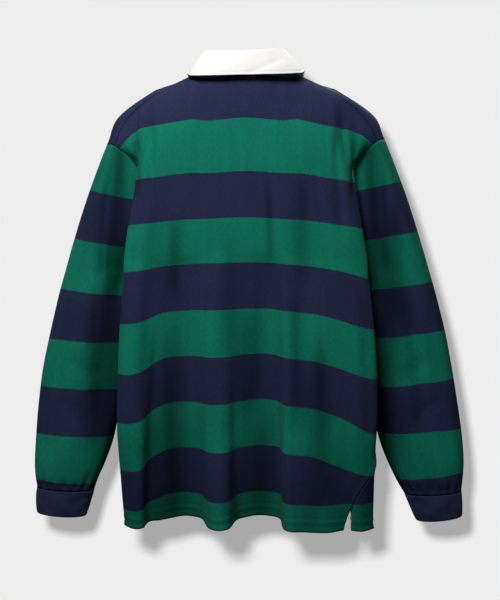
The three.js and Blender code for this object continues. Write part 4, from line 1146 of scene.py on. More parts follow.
# %% Sleeves
SLEEVE_AROUND = 150
SLEEVE_ROWS = 150
ARMHOLE_ROWS = 65  # of them, the rows above the first plain section
SLEEVE_SETTLE = {"cuff": 0.02, "armhole": 0.1}  # where creases fade so that the seams stay closed
# How much higher the outer end of a stripe is, for each mm across the sleeve
SLEEVE_SLOPE = table(
    "z left right",
    (-80, 0.2, 0.2), (-163, 0.21, 0.21), (-247, 0.16, 0.17), (-330, 0.1, 0.12), (-411, 0.05, 0.11),
    (-490, 0.035, 0.1), (-570, 0.03, 0.05), (-650, 0.08, 0.12), (-670, 0.08, 0.12))


def sleeve_cloth_height(name, points):
    rows = SLEEVE_SECTIONS[name]
    z = points[..., 2]
    middle = (read(rows, z, "outer") + read(rows, z, "inner")) / 2
    return z - read(SLEEVE_SLOPE, z, name) * (SIDES[name] * points[..., 0] - middle)


def gathered(name, points, normals, around):
    """Presses the gathers above a cuff into a sleeve that is creased already."""
    moved = press(points, normals, SLEEVE_CREASES[name])
    for at, length, wide, deep in GATHERS[name]:
        apart = way_round(around, at) / wide
        rise = (points[..., 2] - SLEEVE_SECTIONS[name]["z"][0]) / length
        along = ease(1 - rise) * ease((rise + 0.25) / 0.25)
        moved = moved - normals * (GATHER_STRENGTH * deep * np.exp(-apart * apart)[None] * along)[..., None]
    return moved


def sleeve_grid(name):
    """A sleeve's points, from the cuff up, and the across and up values of its map."""
    around = np.arange(SLEEVE_AROUND) / SLEEVE_AROUND
    upper = np.linspace(0, 1, ARMHOLE_ROWS + 1)[:-1]
    downs = np.concatenate([upper, np.linspace(1, 2, SLEEVE_ROWS - ARMHOLE_ROWS)])[::-1]
    points = np.array([sleeve_row(name, around, down) for down in downs])
    if name == "left":
        points, around = points[:, ::-1], around[::-1]
    up_map = sleeve_cloth_height(name, points)
    size = np.linalg.norm(np.diff(np.concatenate([points, points[:, :1]], axis=1), axis=1), axis=2)
    ring = size.sum(axis=1)[:, None]
    across_map = np.arange(SLEEVE_AROUND)[None] / SLEEVE_AROUND * mix(ring, ring.max(), 0.5)
    moved = gathered(name, points, normals_of(points, True), around)
    settle = ease((2 - downs) / SLEEVE_SETTLE["cuff"]) * ease(downs / SLEEVE_SETTLE["armhole"])
    return points + (moved - points) * settle[:, None, None], across_map, up_map


sleeves = {}
sleeve_grids = {}
for name in SIDES:
    sleeve_grids[name] = sleeve_grid(name)
    points = sleeve_grids[name][0]
    sleeves[name] = cloth_object(f"sleeve_cloth_{name}", *sleeve_grids[name], CLOTH, closed=True)
    lay_shade_and_seam(sleeves[name], crease_depth(points, normals_of(points, True), SLEEVE_SHADE_AND_SEAM[name]))
    dress(sleeves[name], f"sleeve_{name}", sleeve_jersey[name])
    print(sleeves[name].name, measured(points, True))

# %% [markdown]
# ## The cuffs
# A cuff is a doubled band of rib knit, which stands a little tighter than the sleeve. Its ribs are deep
# enough to catch the light, so they are real ridges in the cloth, and only the stitches between them are
# drawn by the material.

# %% Ribbed cuffs
RIBS = 76
CUFF_AROUND = RIBS * 4
CUFF_ROWS = 22
CUFF_EDGE = 0.08  # share of a cuff's length over which ribs and creases fade at its edges
RIB_HEIGHT = 0.26
RIB_COURSE = 1.1
RIB_VALLEY = 1.1  # the navy is this much brighter between the ribs
CUFF_BULGE = 1.2  # how far the middle of a cuff stands out
CUFF_CREASES = {
    "left": [(-262, -668, -300, -690, 8, 1.6, 3), (-340, -666, -330, -700, 7, 1.4, -2),
             (-318, -664, -296, -700, 9, -1.2, 4)],
    "right": [(276, -672, 306, -700, 8, 1.6, -3), (346, -672, 338, -704, 7, 1.4, 2),
              (322, -672, 300, -704, 9, -1.2, -4)],
}


def rib_material():
    """Rib knit. Its map's across value counts the ribs."""
    material, tree = new_material("cuff_rib")
    place, across, up = cloth_coordinates(tree)
    ridge = plus(tree, times(tree, wave(tree, across, 1), 0.5), 0.5)
    tone = mixed(tree, ridge, tuple(c * RIB_VALLEY for c in NAVY), NAVY)
    speck = yarn_noise(tree, place, 700.0, 0.4, 3.0)
    color = shaded(tree, tone, plus(tree, swing(tree, speck, 0.6), 1.0))
    height = plus(tree, times(tree, wave(tree, up, RIB_COURSE), 0.4), speck)
    return finish_cloth(material, tree, color, height, bump=0.4, depth=0.0005, sheen=0.10, roughness=0.9)


def cuff_grid(name):
    side, rows = SIDES[name], CUFF_SECTIONS[name]
    along = np.arange(CUFF_AROUND) / CUFF_AROUND
    around = along[::-1] if name == "left" else along
    first, last = rows["z"][-1], rows["z"][0]
    downs = np.linspace(1, 0, CUFF_ROWS)
    points = np.array([section(rows, side, around, mix(first, last, down)) for down in downs])
    normals = normals_of(points, True)
    edge = ease(downs / CUFF_EDGE) * ease((1 - downs) / CUFF_EDGE)
    bulge = CUFF_BULGE * 4 * downs * (1 - downs)
    ribs = np.sin(along * 2 * math.pi * RIBS)
    relief = bulge[:, None] + RIB_HEIGHT * ribs[None] * edge[:, None]
    moved = press(points, normals, CUFF_CREASES[name])
    moved = points + (moved - points) * edge[:, None, None]
    across_map = np.repeat((along * RIBS)[None], CUFF_ROWS, axis=0)
    return moved + normals * relief[..., None], across_map, points[..., 2]


cuff_rib = rib_material()
cuffs = {}
for name in SIDES:
    grid = cuff_grid(name)
    cuffs[name] = cloth_object(f"cuff_cloth_{name}", *grid, RIB, closed=True)
    dress(cuffs[name], f"cuff_{name}", cuff_rib)
    print(cuffs[name].name, measured(grid[0], True))

# %% [markdown]
# ## The collar
# The collar is white twill, doubled and turned: a stand that rises from the neck seam, and a leaf that
# folds over it and falls. Its edge is turned and stitched, and the back of it lies nearly straight with
# one soft crease that runs up to the right, where the leaf was pressed.

# %% Collar form
STAND = {"back": 32.0, "side_extra": 5.0, "front": 18.0, "lean": 0.77, "shift": -4.0, "deep": 0.94,
         "foot": 0.75, "low_from": 60.0, "low_over": 115.0}
COLLAR_EDGE = table(
    "turn out y z",
    (0, 0, -70, 31), (30, 55, -65, 31.5), (60, 92, -42, 35), (85, 99, -8, 42), (105, 99, 28, 40),
    (125, 92, 60, 12), (150, 66, 77, -42), (176, 38, 84, -72))
LEAF_ROLL = table("fall out up", (0, 0, 0.4), (0.05, 0.6, 2.6), (0.11, 3, 3.6), (0.18, 5, 1.5))
COLLAR_SLOPE = 0.022  # how much higher the collar is to the right, for each mm
COLLAR_FRONT_TURN = 176.0
COLLAR_STEPS = 200
LEAF_BOW = 3.0


def stand_top(turn):
    base = neckline(turn)
    to_front = float(ease((abs(turn) - STAND["low_from"]) / STAND["low_over"]))
    side = math.sin(math.radians(turn))
    height = mix(STAND["back"] + STAND["side_extra"] * side * side, STAND["front"], to_front)
    x = base[0] * STAND["lean"] + STAND["shift"] * (1 - to_front)
    return np.array([x, base[1] * STAND["deep"], base[2] + height + COLLAR_SLOPE * base[0]])


def outward_at(turn):
    angle = math.radians(turn)
    depth = NECK["back"] if math.cos(angle) > 0 else NECK["front"]
    way = np.array([math.sin(angle) * depth, -math.cos(angle) * NECK["out"], 0.0])
    return way / np.linalg.norm(way)


def leaf_row(turn, falls):
    """Points of the leaf at one place round the neck, from its fold (fall 0) to its edge (fall 1)."""
    fold, outward = stand_top(turn), outward_at(turn)
    roll_end = LEAF_ROLL["fall"][-1]
    rolled = np.minimum(falls, roll_end)
    points = fold + outward * read(LEAF_ROLL, rolled, "out")[:, None]
    points[:, 2] += read(LEAF_ROLL, rolled, "up")
    side = 1 if turn >= 0 else -1
    out, y, z = (float(read(COLLAR_EDGE, abs(turn), column)) for column in ("out", "y", "z"))
    end = np.array([side * out, y, z + COLLAR_SLOPE * side * out])
    t = clamp((falls - roll_end) / (1 - roll_end))[:, None]
    return mix(points, end, t) + outward * LEAF_BOW * t * (1 - t)


def collar_grids():
    turns = np.linspace(-COLLAR_FRONT_TURN, COLLAR_FRONT_TURN, COLLAR_STEPS + 1)
    edge, flat, roll = np.linspace(1, 0.9, 9), np.linspace(0.9, 0.2, 22), np.linspace(0.2, 0, 14)
    falls = np.concatenate([edge[:-1], flat[:-1], roll])
    leaf = np.stack([leaf_row(turn, falls) for turn in turns], axis=1)
    foot = np.array([neckline(turn) + (0, 0, STAND["foot"]) for turn in turns])
    top = np.array([stand_top(turn) for turn in turns])
    return leaf, mix(foot[None], top[None], np.linspace(0, 1, 12)[:, None, None])


leaf, stand = collar_grids()
print("collar leaf:", measured(leaf), "stand:", measured(stand))

# %% [markdown]
# The white twill has fine slanting ridges, far too small to model. The leaf takes its few creases and a
# shallow trough along its stitch line.

# %% Twill, and the collar's two pieces
WHITE = (0.69, 0.68, 0.658)
LEAF_CREASES = [
    (-10, 30, 66, 62, 5, 0.9, 2), (-70, 40, -40, 64, 7, 0.5, 1), (20, 36, 84, 50, 9, -0.5, -2),
    (-92, 30, -60, 66, 6, 0.6, 2), (88, 26, 52, 60, 6, -0.5, 2),
    (-80, 10, -50, -40, 7, 0.8, 3), (80, 6, 52, -44, 7, 0.8, -3),
]
LEAF_CREASE_EDGE = 4
COLLAR_STITCH = {"inside": 4.5, "depth": 0.45, "width": 1.3}  # mm, of the stitch line and its trough


def distances(path):
    """Distance of each point of a path from its first, along it."""
    return np.concatenate([[0.0], np.cumsum(np.linalg.norm(np.diff(path, axis=0), axis=1))])


def length_maps(points):
    """Cloth distance across and up a grid, in mm."""
    across = np.array([distances(row) for row in points])
    up = np.stack([distances(column) for column in points.transpose(1, 0, 2)], axis=1)
    return across, up


def twill_material(name, color, roughness=0.82, rib=1.1):
    """Twill: fine slanting ridges, with a little unevenness of tone."""
    material, tree = new_material(name)
    place, across, up = cloth_coordinates(tree)
    ridges = wave(tree, plus(tree, across, times(tree, up, 0.6)), rib)
    speck = yarn_noise(tree, place, 500.0)
    tone = plus(tree, swing(tree, speck, 0.05), swing(tree, yarn_noise(tree, place, 14.0), 0.05))
    height = plus(tree, times(tree, ridges, 0.5), speck)
    color = shaded(tree, color, plus(tree, tone, 1.0))
    return finish_cloth(material, tree, color, height, 0.2, 0.0003, 0.05, roughness)


white_twill = twill_material("white_twill", WHITE)
leaf_normals = normals_of(leaf, False)
pressed = press(leaf, leaf_normals, LEAF_CREASES)
leaf_map = length_maps(leaf)
from_stitch = (leaf_map[1] - COLLAR_STITCH["inside"]) / COLLAR_STITCH["width"]
trough = COLLAR_STITCH["depth"] * np.exp(-from_stitch ** 2)
inside = near_edges(leaf, LEAF_CREASE_EDGE)[..., None]
leaf_shaped = leaf + (pressed - leaf) * inside - leaf_normals * trough[..., None]
collar = cloth_object("collar_leaf_cloth", leaf_shaped, *leaf_map, TWILL)
collar_stand = cloth_object("collar_stand_cloth", stand, *length_maps(stand), TWILL)
dress(collar, "collar", white_twill)
dress(collar_stand, "collar_stand", white_twill)
print("faces:", len(collar.data.polygons), "in the leaf,", len(collar_stand.data.polygons), "in the stand")

# %% [markdown]
# ## The placket
# The front closes with a strip of the same twill, sewn down on all sides. It is laid on the front
# panel's own surface and lifted by its thickness, so that it follows the chest.

# %% Placket
PLACKET = {"half": 16.0, "top": -42.0, "bottom": -186.0, "thick": 2.2, "seat": 0.3, "rows": 60,
           "columns": 16}
CHEST_LOOK = {"facing": 0.2, "points": 4, "soften": 0.3}  # which points of the panel a place is read from
front_points = shaped["front"][0]
front_normals = normals_of(front_points, False)


def on_front(x, z):
    """A point of the finished front panel and its normal, straight under a place seen from the front."""
    near = (front_points[..., 0] - x) ** 2 + (front_points[..., 2] - z) ** 2
    near = np.where(front_normals[..., 1] > CHEST_LOOK["facing"], near, 1e9)
    best = np.argsort(near, axis=None)[:CHEST_LOOK["points"]]
    weight = 1 / (near.reshape(-1)[best] + CHEST_LOOK["soften"])
    weight = (weight / weight.sum())[:, None]
    normal = (front_normals.reshape(-1, 3)[best] * weight).sum(axis=0)
    spot = (front_points.reshape(-1, 3)[best] * weight).sum(axis=0)
    return np.array([x, spot[1], z]), normal / np.linalg.norm(normal)


def placket_grid():
    rows = []
    for z in np.linspace(PLACKET["bottom"], PLACKET["top"], PLACKET["rows"] + 1):
        line = []
        for x in np.linspace(PLACKET["half"], -PLACKET["half"], PLACKET["columns"] + 1):
            spot, normal = on_front(x, z)
            line.append(spot + normal * (PLACKET["thick"] + PLACKET["seat"]))
        rows.append(line)
    points = np.array(rows)
    for _ in range(3):  # the twill bridges the panel's small unevenness
        points[1:-1, :, 1] = (points[:-2, :, 1] + points[1:-1, :, 1] + points[2:, :, 1]) / 3
    return points


placket_points = placket_grid()
placket = cloth_object("placket_cloth", placket_points, *length_maps(placket_points), PLACKET["thick"])
dress(placket, "placket", white_twill)
print("placket:", measured(placket_points))

# %% [markdown]
# ## The buttons
# Three soft rubber buttons close the placket. One is turned from a cylinder: its top is inset and sunk to
# leave a rim, its edges are rounded, and two bars of thread hold it. It is then copied to each place, with
# a mesh of its own.

# %% Rubber and thread
BUTTON = {"radius": 7.5, "thick": 2.6, "rim": 1.6, "sink": 0.6, "round": 0.45}
THREAD = {"length": 3.6, "thick": 0.6, "apart": 2.2}


def plain_material(name, color, roughness, sheen=0.0):
    """A smooth finish with a fine grain on the object's own coordinates."""
    material, tree = new_material(name)
    place = tree.nodes.new("ShaderNodeTexCoord")
    noise = node(tree, "ShaderNodeTexNoise", Scale=300.0, Detail=2.0)
    tree.links.new(place.outputs["Object"], noise.inputs["Vector"])
    grain = noise.outputs["Fac"]
    color = shaded(tree, color, plus(tree, swing(tree, grain, 0.12), 1.0))
    return finish_cloth(material, tree, color, grain, 0.2, 0.0002, sheen, roughness)


button_rubber = plain_material("button_rubber", (0.80, 0.79, 0.74), 0.45)
white_thread = plain_material("white_thread", (0.85, 0.84, 0.80), 0.8, 0.1)
green_thread = plain_material("green_thread", (0.004, 0.105, 0.062), 0.8, 0.1)
dark_thread = plain_material("dark_thread", (0.008, 0.016, 0.028), 0.8, 0.1)
print("materials:", *(m.name for m in (button_rubber, white_thread, green_thread, dark_thread)))

# %% One button
def face_where(mesh, test):
    """Selects the faces whose middle and normal pass a test, in edit mode."""
    bpy.ops.mesh.select_all(action="DESELECT")
    bpy.ops.object.mode_set(mode="OBJECT")
    for polygon in mesh.polygons:
        polygon.select = test(polygon.center, polygon.normal)
    bpy.ops.object.mode_set(mode="EDIT")
    bpy.ops.mesh.select_mode(type="FACE")


def thread_bar(x):
    bpy.ops.object.select_all(action="DESELECT")
    bpy.ops.mesh.primitive_uv_sphere_add(segments=8, ring_count=6, radius=1)
    bar = bpy.context.active_object
    size = (THREAD["thick"] / 2000, THREAD["length"] / 2000, THREAD["thick"] / 2000)
    for vertex in bar.data.vertices:
        vertex.co = Vector((vertex.co[k] * size[k] for k in range(3)))
        vertex.co.x += x / 1000
        vertex.co.z += (BUTTON["thick"] - BUTTON["sink"]) / 1000
    bar.data.materials.append(white_thread)
    return bar


def first_button():
    bpy.ops.object.select_all(action="DESELECT")
    thick, radius = BUTTON["thick"] / 1000, BUTTON["radius"] / 1000
    bpy.ops.mesh.primitive_cylinder_add(vertices=48, radius=radius, depth=thick, location=(0, 0, thick / 2))
    button = bpy.context.active_object
    bpy.ops.object.transform_apply(location=True, rotation=False, scale=False)
    bpy.ops.object.mode_set(mode="EDIT")
    face_where(button.data, lambda centre, normal: normal.z > 0.9)
    bpy.ops.mesh.inset(thickness=BUTTON["rim"] / 1000, depth=0)
    bpy.ops.mesh.inset(thickness=BUTTON["sink"] / 1000, depth=-BUTTON["sink"] / 1000)
    bpy.ops.object.mode_set(mode="OBJECT")
    edge = button.modifiers.new("rounded", "BEVEL")
    edge.width = BUTTON["round"] / 1000
    edge.segments = 3
    edge.limit_method = "ANGLE"
    edge.angle_limit = math.radians(25)
    bpy.ops.object.modifier_apply(modifier=edge.name)
    bpy.ops.object.shade_smooth_by_angle(angle=math.radians(40))
    button.data.materials.append(button_rubber)
    bars = [thread_bar(-THREAD["apart"] / 2), thread_bar(THREAD["apart"] / 2)]
    bpy.ops.object.select_all(action="DESELECT")
    for bar in bars:
        bar.select_set(True)
    button.select_set(True)
    bpy.context.view_layer.objects.active = button
    bpy.ops.object.join()
    return button


pattern_button = first_button()
buttons = []
for number in (1, 2, 3):
    low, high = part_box(f"button_{number}")
    middle = (Vector(low) + Vector(high)) / 2
    _, normal = on_front(middle.x * 1000, middle.z * 1000)
    facing = Vector(normal)
    button = pattern_button if number == 3 else pattern_button.copy()
    if number != 3:
        button.data = pattern_button.data.copy()
        bpy.context.scene.collection.objects.link(button)
    button.name = f"rubber_button_{number}"
    buttons.append((button, middle - facing * BUTTON["thick"] / 2000, facing))
for number, (button, foot, facing) in enumerate(buttons, 1):
    turn = facing.to_track_quat("Z", "X").to_matrix().to_4x4()
    turn.translation = foot
    button.data.transform(turn)
    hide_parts(f"button_{number}")
    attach(button, "root")
print("buttons:", [b[0].name for b in buttons], len(buttons[0][0].data.polygons), "faces each")

# %% [markdown]
# ## Vent tapes
# Each side vent is finished with a strip of off-white tape, sewn under the cloth's edge. Only a hair of
# it shows past the edge, so it is laid along the panel's own edge, just inside.

# %% Tapes in the vents
TAPE = {"width": 9.2, "thick": 0.9, "show": 1.3, "hide": 0.6, "gap": 0.5, "low": 3.0, "high": 40.0}
TAPE_PLACES = 6  # across a tape
NEAR_EDGE = 40  # points of a row that are looked at from its end
cotton_tape = twill_material("cotton_tape", (0.62, 0.60, 0.52), 0.85, 1.6)


def read_path(steps, values, places):
    """Points or normals of a path at some distances along it."""
    return np.stack([np.interp(places, steps, values[:, k]) for k in range(3)], axis=-1)


def along_row(row, distance, from_end):
    """A point at a distance from a row's first or last point, along it. Below 0 it goes straight on."""
    line = (row[::-1] if from_end else row)[:NEAR_EDGE]
    if distance < 0:
        way = line[0] - line[1]
        return line[0] - way / np.linalg.norm(way) * distance
    return read_path(distances(line), line, distance)


def tape_grid(face, from_end):
    """A tape just inside one side edge of a panel, showing a little less the higher it goes."""
    points = shaped[face][0]
    normals = normals_of(points, False)
    above = level_heights()
    edge = -1 if from_end else 0
    rows = []
    for j in np.flatnonzero((above >= TAPE["low"]) & (above <= TAPE["high"])):
        show = mix(TAPE["show"], -TAPE["hide"], above[j] / TAPE["high"])
        places = np.linspace(-show, TAPE["width"], TAPE_PLACES)
        if from_end:
            places = places[::-1]
        inward = normals[j, edge] * (CLOTH + TAPE["gap"])
        rows.append([along_row(points[j], place, from_end) - inward for place in places])
    return np.array(rows)


tape_grids = {}
for side in SIDES:
    for face in ("back", "front"):
        grid = tape_grids[side, face] = tape_grid(face, (side == "left") != (face == "back"))
        tape = cloth_object(f"vent_tape_cloth_{side}_{face}", grid, *length_maps(grid), TAPE["thick"])
        dress(tape, f"vent_tape_{side}_{face}", cotton_tape)
        print(tape.name, measured(grid))

# %% [markdown]
# ## Sewing
# Hems, shoulders, collar, placket, armholes and cuffs are stitched down. A stitch is a short length of
# thread that dips into the cloth at both ends. One is modelled as a small, few-sided bead, and is copied
# along each seam at its real pitch, into one mesh a seam.

# %% One stitch, and a seam of stitches
STITCH = {"pitch": 3.1, "length": 2.3, "thick": 0.55, "lift": 0.05}
STITCH_REACH = 0.8  # mm on both sides of a stitch that its direction is taken from
bpy.ops.object.select_all(action="DESELECT")
bpy.ops.mesh.primitive_uv_sphere_add(segments=6, ring_count=4, radius=0.5)
bead = bpy.context.active_object
bead_points = np.array([vertex.co[:] for vertex in bead.data.vertices])
bead_faces = [list(polygon.vertices) for polygon in bead.data.polygons]
bpy.data.objects.remove(bead, do_unlink=True)


def sew(name, path, normals, thread):
    """Lays stitches along a path on the cloth, each turned to lie in it."""
    steps = distances(path)
    count = int(steps[-1] / STITCH["pitch"])
    middles = (np.arange(count) + 0.5) * STITCH["pitch"]
    way = read_path(steps, path, middles + STITCH_REACH) - read_path(steps, path, middles - STITCH_REACH)
    way = way / np.linalg.norm(way, axis=1, keepdims=True)
    out = read_path(steps, normals, middles)
    out = out - way * (out * way).sum(axis=1, keepdims=True)
    out = out / np.linalg.norm(out, axis=1, keepdims=True)
    across = np.cross(out, way)
    centres = read_path(steps, path, middles) + out * STITCH["lift"]
    beads = (centres[:, None] + way[:, None] * bead_points[None, :, :1] * STITCH["length"]
             + across[:, None] * bead_points[None, :, 1:2] * STITCH["thick"]
             + out[:, None] * bead_points[None, :, 2:] * STITCH["thick"])
    faces = [[v + k * len(bead_points) for v in face] for k in range(count) for face in bead_faces]
    mesh = bpy.data.meshes.new(name)
    mesh.from_pydata((beads.reshape(-1, 3) / 1000).tolist(), [], faces)
    mesh.polygons.foreach_set("use_smooth", np.ones(len(faces), bool))
    mesh.materials.append(thread)
    seam = into_scene(name, mesh)
    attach(seam, "root")
    return seam


print("a stitch has", len(bead_faces), "faces and is", STITCH["length"], "mm long")


# %% Lines to sew along
EDGE_POINTS = 60  # points of a row that are looked at from its edge


def row_at(points, height):
    """The line at one height above a panel's hem, with its normals."""
    normals = normals_of(points, False)
    column = level_heights()
    j = int(np.searchsorted(column, height)) - 1
    t = (height - column[j]) / (column[j + 1] - column[j])
    return mix(points[j], points[j + 1], t), mix(normals[j], normals[j + 1], t)


def line_inside(points, distance, edge, first=0, last=None):
    """A line at a distance inside an edge of a grid: 'start' or 'end' column, or 'top' row."""
    grid, ways = points, normals_of(points, False)
    if edge == "top":
        grid, ways = grid.transpose(1, 0, 2), ways.transpose(1, 0, 2)
    if edge != "start":
        grid, ways = grid[:, ::-1], ways[:, ::-1]
    line, out = [], []
    for row, normals in list(zip(grid[:, :EDGE_POINTS], ways[:, :EDGE_POINTS]))[first:last]:
        steps = distances(row)
        line.append(read_path(steps, row, distance))
        out.append(read_path(steps, normals, distance))
    return np.array(line), np.array(out)


# %% Seams
ARMHOLE_STITCH = 5.0  # mm inside the armhole's edge
PLACKET_STITCH = 3.0
CUFF_SEAM_ROW = 3  # rows of the sleeve above its cuff
SHOULDER_STITCHED = (0.08, 0.97)  # from where to where along a shoulder seam
sewing = {name: [] for name in ("back", "front", "collar", "placket", "left", "right")}
underarm = int(np.searchsorted(panel_levels(), 1.0))
for face in ("back", "front"):
    points = shaped[face][0]
    for number, height in enumerate(HEM_STITCHES, 1):
        path, ways = row_at(points, height)
        name = f"hem_stitches_{face}_{number}"
        sewing[face].append(sew(name, path[2:-2], ways[2:-2], green_thread))
    for edge in ("start", "end"):
        path, ways = line_inside(points, ARMHOLE_STITCH, edge, underarm + 3, -3)
        name = f"armhole_stitches_{face}_{edge}"
        sewing[face].append(sew(name, path, ways, dark_thread))
along, side = along_top("back", panel_places("back"))
stitched = (along > SHOULDER_STITCHED[0]) & (along < SHOULDER_STITCHED[1])
for number, way in enumerate((-1, 1), 1):
    columns = np.flatnonzero((side == way) & stitched)
    path, ways = line_inside(shaped["back"][0], SEAM_LINE["inside"], "top", columns[0], columns[-1] + 1)
    sewing["back"].append(sew(f"shoulder_stitches_{number}", path, ways, dark_thread))
path, ways = line_inside(leaf_shaped.transpose(1, 0, 2), COLLAR_STITCH["inside"], "start", 3, -3)
sewing["collar"].append(sew("collar_stitches", path, -ways, white_thread))
for edge in ("start", "end"):
    path, ways = line_inside(placket_points, PLACKET_STITCH, edge, 2, -2)
    sewing["placket"].append(sew(f"placket_stitches_{edge}", path, ways, white_thread))
for name in SIDES:
    points = sleeve_grids[name][0]
    normals = normals_of(points, True)
    ring = np.concatenate([points[CUFF_SEAM_ROW], points[CUFF_SEAM_ROW][:1]])
    ways = np.concatenate([normals[CUFF_SEAM_ROW], normals[CUFF_SEAM_ROW][:1]])
    sewing[name].append(sew(f"cuff_seam_stitches_{name}", ring, ways, dark_thread))
print("sewn:", sum(len(seams) for seams in sewing.values()), "seams")

# %% [markdown]
# ## The cuffs' grids again
# Jersey and twill hang here without being stretched. Each cuff's grid is worked out once more, and
# nothing is kept from it.


for name in SIDES:
    cuff_grid(name)[0]

# %% [markdown]
# ## Stage
# The shirt hangs over a plain pale floor, in front of a plain pale card that takes its soft shadow. Both
# show their pale tone to the camera alone, so they throw hardly any light back on it. The card is seen
# only from the side it faces and fades out towards its edges, so that it never hides the shirt or ends
# in a line. Its lamp stands near the camera, which puts the shadow evenly below and to the right, and
# the card's colour makes up for the lamp's fall towards the edges.

# %% Floor
FLOOR = {"size": 2.2, "height": -1.3}
PALE = (0.855, 0.855, 0.855)
FLOOR_TONES = {"grain": 0.05, "other": (0.8, 0.8, 0.8), "seen": 0.98, "dark": (0.2, 0.2, 0.2)}


def chosen(tree, factor, first, second):
    """One shader where the factor is 0 and another where it is 1."""
    choice = tree.nodes.new("ShaderNodeMixShader")
    for socket, output in zip(choice.inputs, (factor, first, second)):
        tree.links.new(output, socket)
    return choice.outputs[0]


def to_camera(tree):
    """1 for what the camera sees directly, and 0 for light that goes on to other things."""
    return tree.nodes.new("ShaderNodeLightPath").outputs["Is Camera Ray"]


def floor_finish():
    material, tree = new_material("pale_floor")
    place = tree.nodes.new("ShaderNodeTexCoord")
    grain = node(tree, "ShaderNodeTexNoise", Scale=40.0)
    tree.links.new(place.outputs["Object"], grain.inputs["Vector"])
    tone = mixed(tree, times(tree, grain.outputs["Fac"], FLOOR_TONES["grain"]), PALE, FLOOR_TONES["other"])
    dark = tree.nodes["Principled BSDF"]
    dark.inputs["Base Color"].default_value = (*FLOOR_TONES["dark"], 1)
    dark.inputs["Roughness"].default_value = 0.9
    seen = node(tree, "ShaderNodeEmission", Strength=FLOOR_TONES["seen"])
    tree.links.new(tone, seen.inputs["Color"])
    surface = chosen(tree, to_camera(tree), dark.outputs[0], seen.outputs[0])
    tree.links.new(surface, tree.nodes["Material Output"].inputs["Surface"])
    return material


bpy.ops.object.select_all(action="DESELECT")
bpy.ops.mesh.primitive_plane_add(size=FLOOR["size"], location=(0, 0, FLOOR["height"]))
floor = bpy.context.active_object
floor.name = "floor"
floor.data.materials.append(floor_finish())
print("floor:", FLOOR["size"], "m wide at height", FLOOR["height"])

# %% Card behind the shirt
CARD = {"place": 0.135, "low": -1.25, "high": 0.55, "half": 0.95, "fade": 0.22}
CARD_MIDDLE = (CARD["low"] + CARD["high"]) / 2
CARD_TALL = (CARD["high"] - CARD["low"]) / 2
CARD_LAMP = (-0.27, -1.8, 0.20)  # beside and above the camera, so that the shadow falls evenly
CARD_COLOR = 0.10
CARD_GLOW = 0.385  # what the shadow leaves of the card's brightness

bpy.ops.object.select_all(action="DESELECT")
bpy.ops.mesh.primitive_plane_add(size=2, location=(0, 0, 0))
card = bpy.context.active_object
card.name = "backdrop_card"
for vertex in card.data.vertices:
    x, y = vertex.co.x, vertex.co.y
    vertex.co = (CARD["half"] * x, CARD["place"], CARD_MIDDLE + CARD_TALL * y)
print("card faces:", [round(v, 2) for v in card.data.polygons[0].normal])


def card_shown(tree, x, z):
    """1 on the card's face for the camera, and 0 at its edges, from behind and for all other light."""
    shown = None
    for half, off in ((CARD["half"], x), (CARD_TALL, minus(tree, z, CARD_MIDDLE))):
        fading = tree.nodes.new("ShaderNodeMapRange")
        fading.interpolation_type = "SMOOTHSTEP"
        fading.inputs["From Max"].default_value = CARD["fade"]
        tree.links.new(minus(tree, half, math_node(tree, "ABSOLUTE", off)), fading.inputs["Value"])
        shown = fading.outputs[0] if shown is None else times(tree, shown, fading.outputs[0])
    facing = minus(tree, 1.0, tree.nodes.new("ShaderNodeNewGeometry").outputs["Backfacing"])
    return times(tree, shown, times(tree, facing, to_camera(tree)))


def evened_color(tree, x, z):
    """The card's colour, brighter away from its lamp, by as much as the lamp's light falls."""
    away = CARD["place"] - CARD_LAMP[1]
    spread = 1.0
    for value, lamp_at in ((x, CARD_LAMP[0]), (z, CARD_LAMP[2])):
        off = math_node(tree, "DIVIDE", minus(tree, value, lamp_at), away)
        spread = plus(tree, times(tree, off, off), spread)
    return times(tree, times(tree, spread, spread), CARD_COLOR)


def card_finish():
    material, tree = new_material("pale_card")
    place = tree.nodes.new("ShaderNodeTexCoord")
    apart = tree.nodes.new("ShaderNodeSeparateXYZ")
    tree.links.new(place.outputs["Object"], apart.inputs[0])
    x, z = apart.outputs["X"], apart.outputs["Z"]
    diffuse = tree.nodes.new("ShaderNodeBsdfDiffuse")
    tree.links.new(evened_color(tree, x, z), diffuse.inputs["Color"])
    paper = tree.nodes.new("ShaderNodeAddShader")
    tree.links.new(diffuse.outputs[0], paper.inputs[0])
    tree.links.new(node(tree, "ShaderNodeEmission", Strength=CARD_GLOW).outputs[0], paper.inputs[1])
    clear = tree.nodes.new("ShaderNodeBsdfTransparent")
    surface = chosen(tree, card_shown(tree, x, z), clear.outputs[0], paper.outputs[0])
    tree.links.new(surface, tree.nodes["Material Output"].inputs["Surface"])
    return material


card.data.materials.append(card_finish())
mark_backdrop(floor, card)

# %% [markdown]
# ## Light
# A broad key light stands on the camera's side, above and a little to the left, and a second one lights
# the chest side for the views from there. Neither reaches the stage. The card's own lamp lights the card
# alone, where it makes the shadow, and the pale surroundings fill the rest.

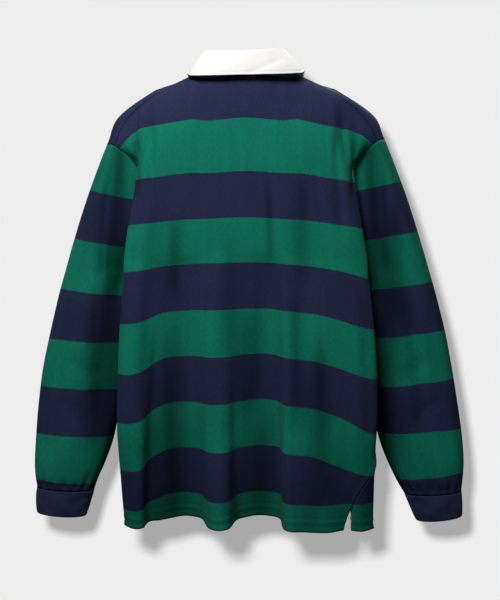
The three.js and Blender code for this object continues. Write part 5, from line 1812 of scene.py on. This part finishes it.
# %% Lamps
KEY = {"power": 38.0, "at": (-0.42, -1.1, 1.15), "to": (0, 0, -0.3), "size": 0.6}
CHEST_LIGHT = {"power": 36.0, "at": (0.42, 1.1, 1.15), "to": (0, 0, -0.3), "size": 0.9}
CARD_LIGHT = {"power": 169.0, "at": CARD_LAMP, "to": (CARD_LAMP[0], 0, CARD_LAMP[2]), "size": 0.2}
FILL = 0.12  # brightness of the pale surroundings on the shirt


def studio_light(name, facts):
    light = bpy.data.lights.new(name, "AREA")
    light.energy = facts["power"]
    light.size = facts["size"]
    lamp = into_scene(name, light)
    lamp.location = facts["at"]
    away = Vector(facts["at"]) - Vector(facts["to"])
    lamp.rotation_euler = away.to_track_quat("Z", "Y").to_euler()
    return lamp


def limit_reach(lamp, state, pieces):
    """Lets a light reach these pieces alone (INCLUDE), or everything but them (EXCLUDE)."""
    group = bpy.data.collections.new(lamp.name + "_reach")
    for piece in pieces:
        group.objects.link(piece)
    lamp.light_linking.receiver_collection = group
    for member in group.collection_objects:
        member.light_linking.link_state = state


limit_reach(studio_light("key_light", KEY), "EXCLUDE", (card, floor))
limit_reach(studio_light("chest_light", CHEST_LIGHT), "EXCLUDE", (card, floor))
limit_reach(studio_light("card_light", CARD_LIGHT), "INCLUDE", (card,))
print("lamps:", [light.name for light in bpy.data.lights])

# %% Surroundings
world = bpy.data.worlds.new("pale_studio")
world.use_nodes = True
bpy.context.scene.world = world
tree = world.node_tree
fill = tree.nodes["Background"]
fill.inputs["Color"].default_value = (1, 1, 1, 1)
fill.inputs["Strength"].default_value = FILL
seen = node(tree, "ShaderNodeBackground", Color=(*PALE, 1), Strength=1.0)
surroundings = chosen(tree, to_camera(tree), fill.outputs[0], seen.outputs[0])
tree.links.new(surroundings, tree.nodes["World Output"].inputs["Surface"])
bpy.context.scene.view_settings.view_transform = "Standard"
bpy.context.scene.view_settings.look = "None"

# %% [markdown]
# ## Sizes, and the end
# The box of the finished cloth, without the stage, is printed. The finished cloth has to
# stay in the solids' box, apart from what fabric may stand proud.

# %% Sizes
low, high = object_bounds()
print("box of the cloth:", [round(v, 4) for v in (*low, *high)])
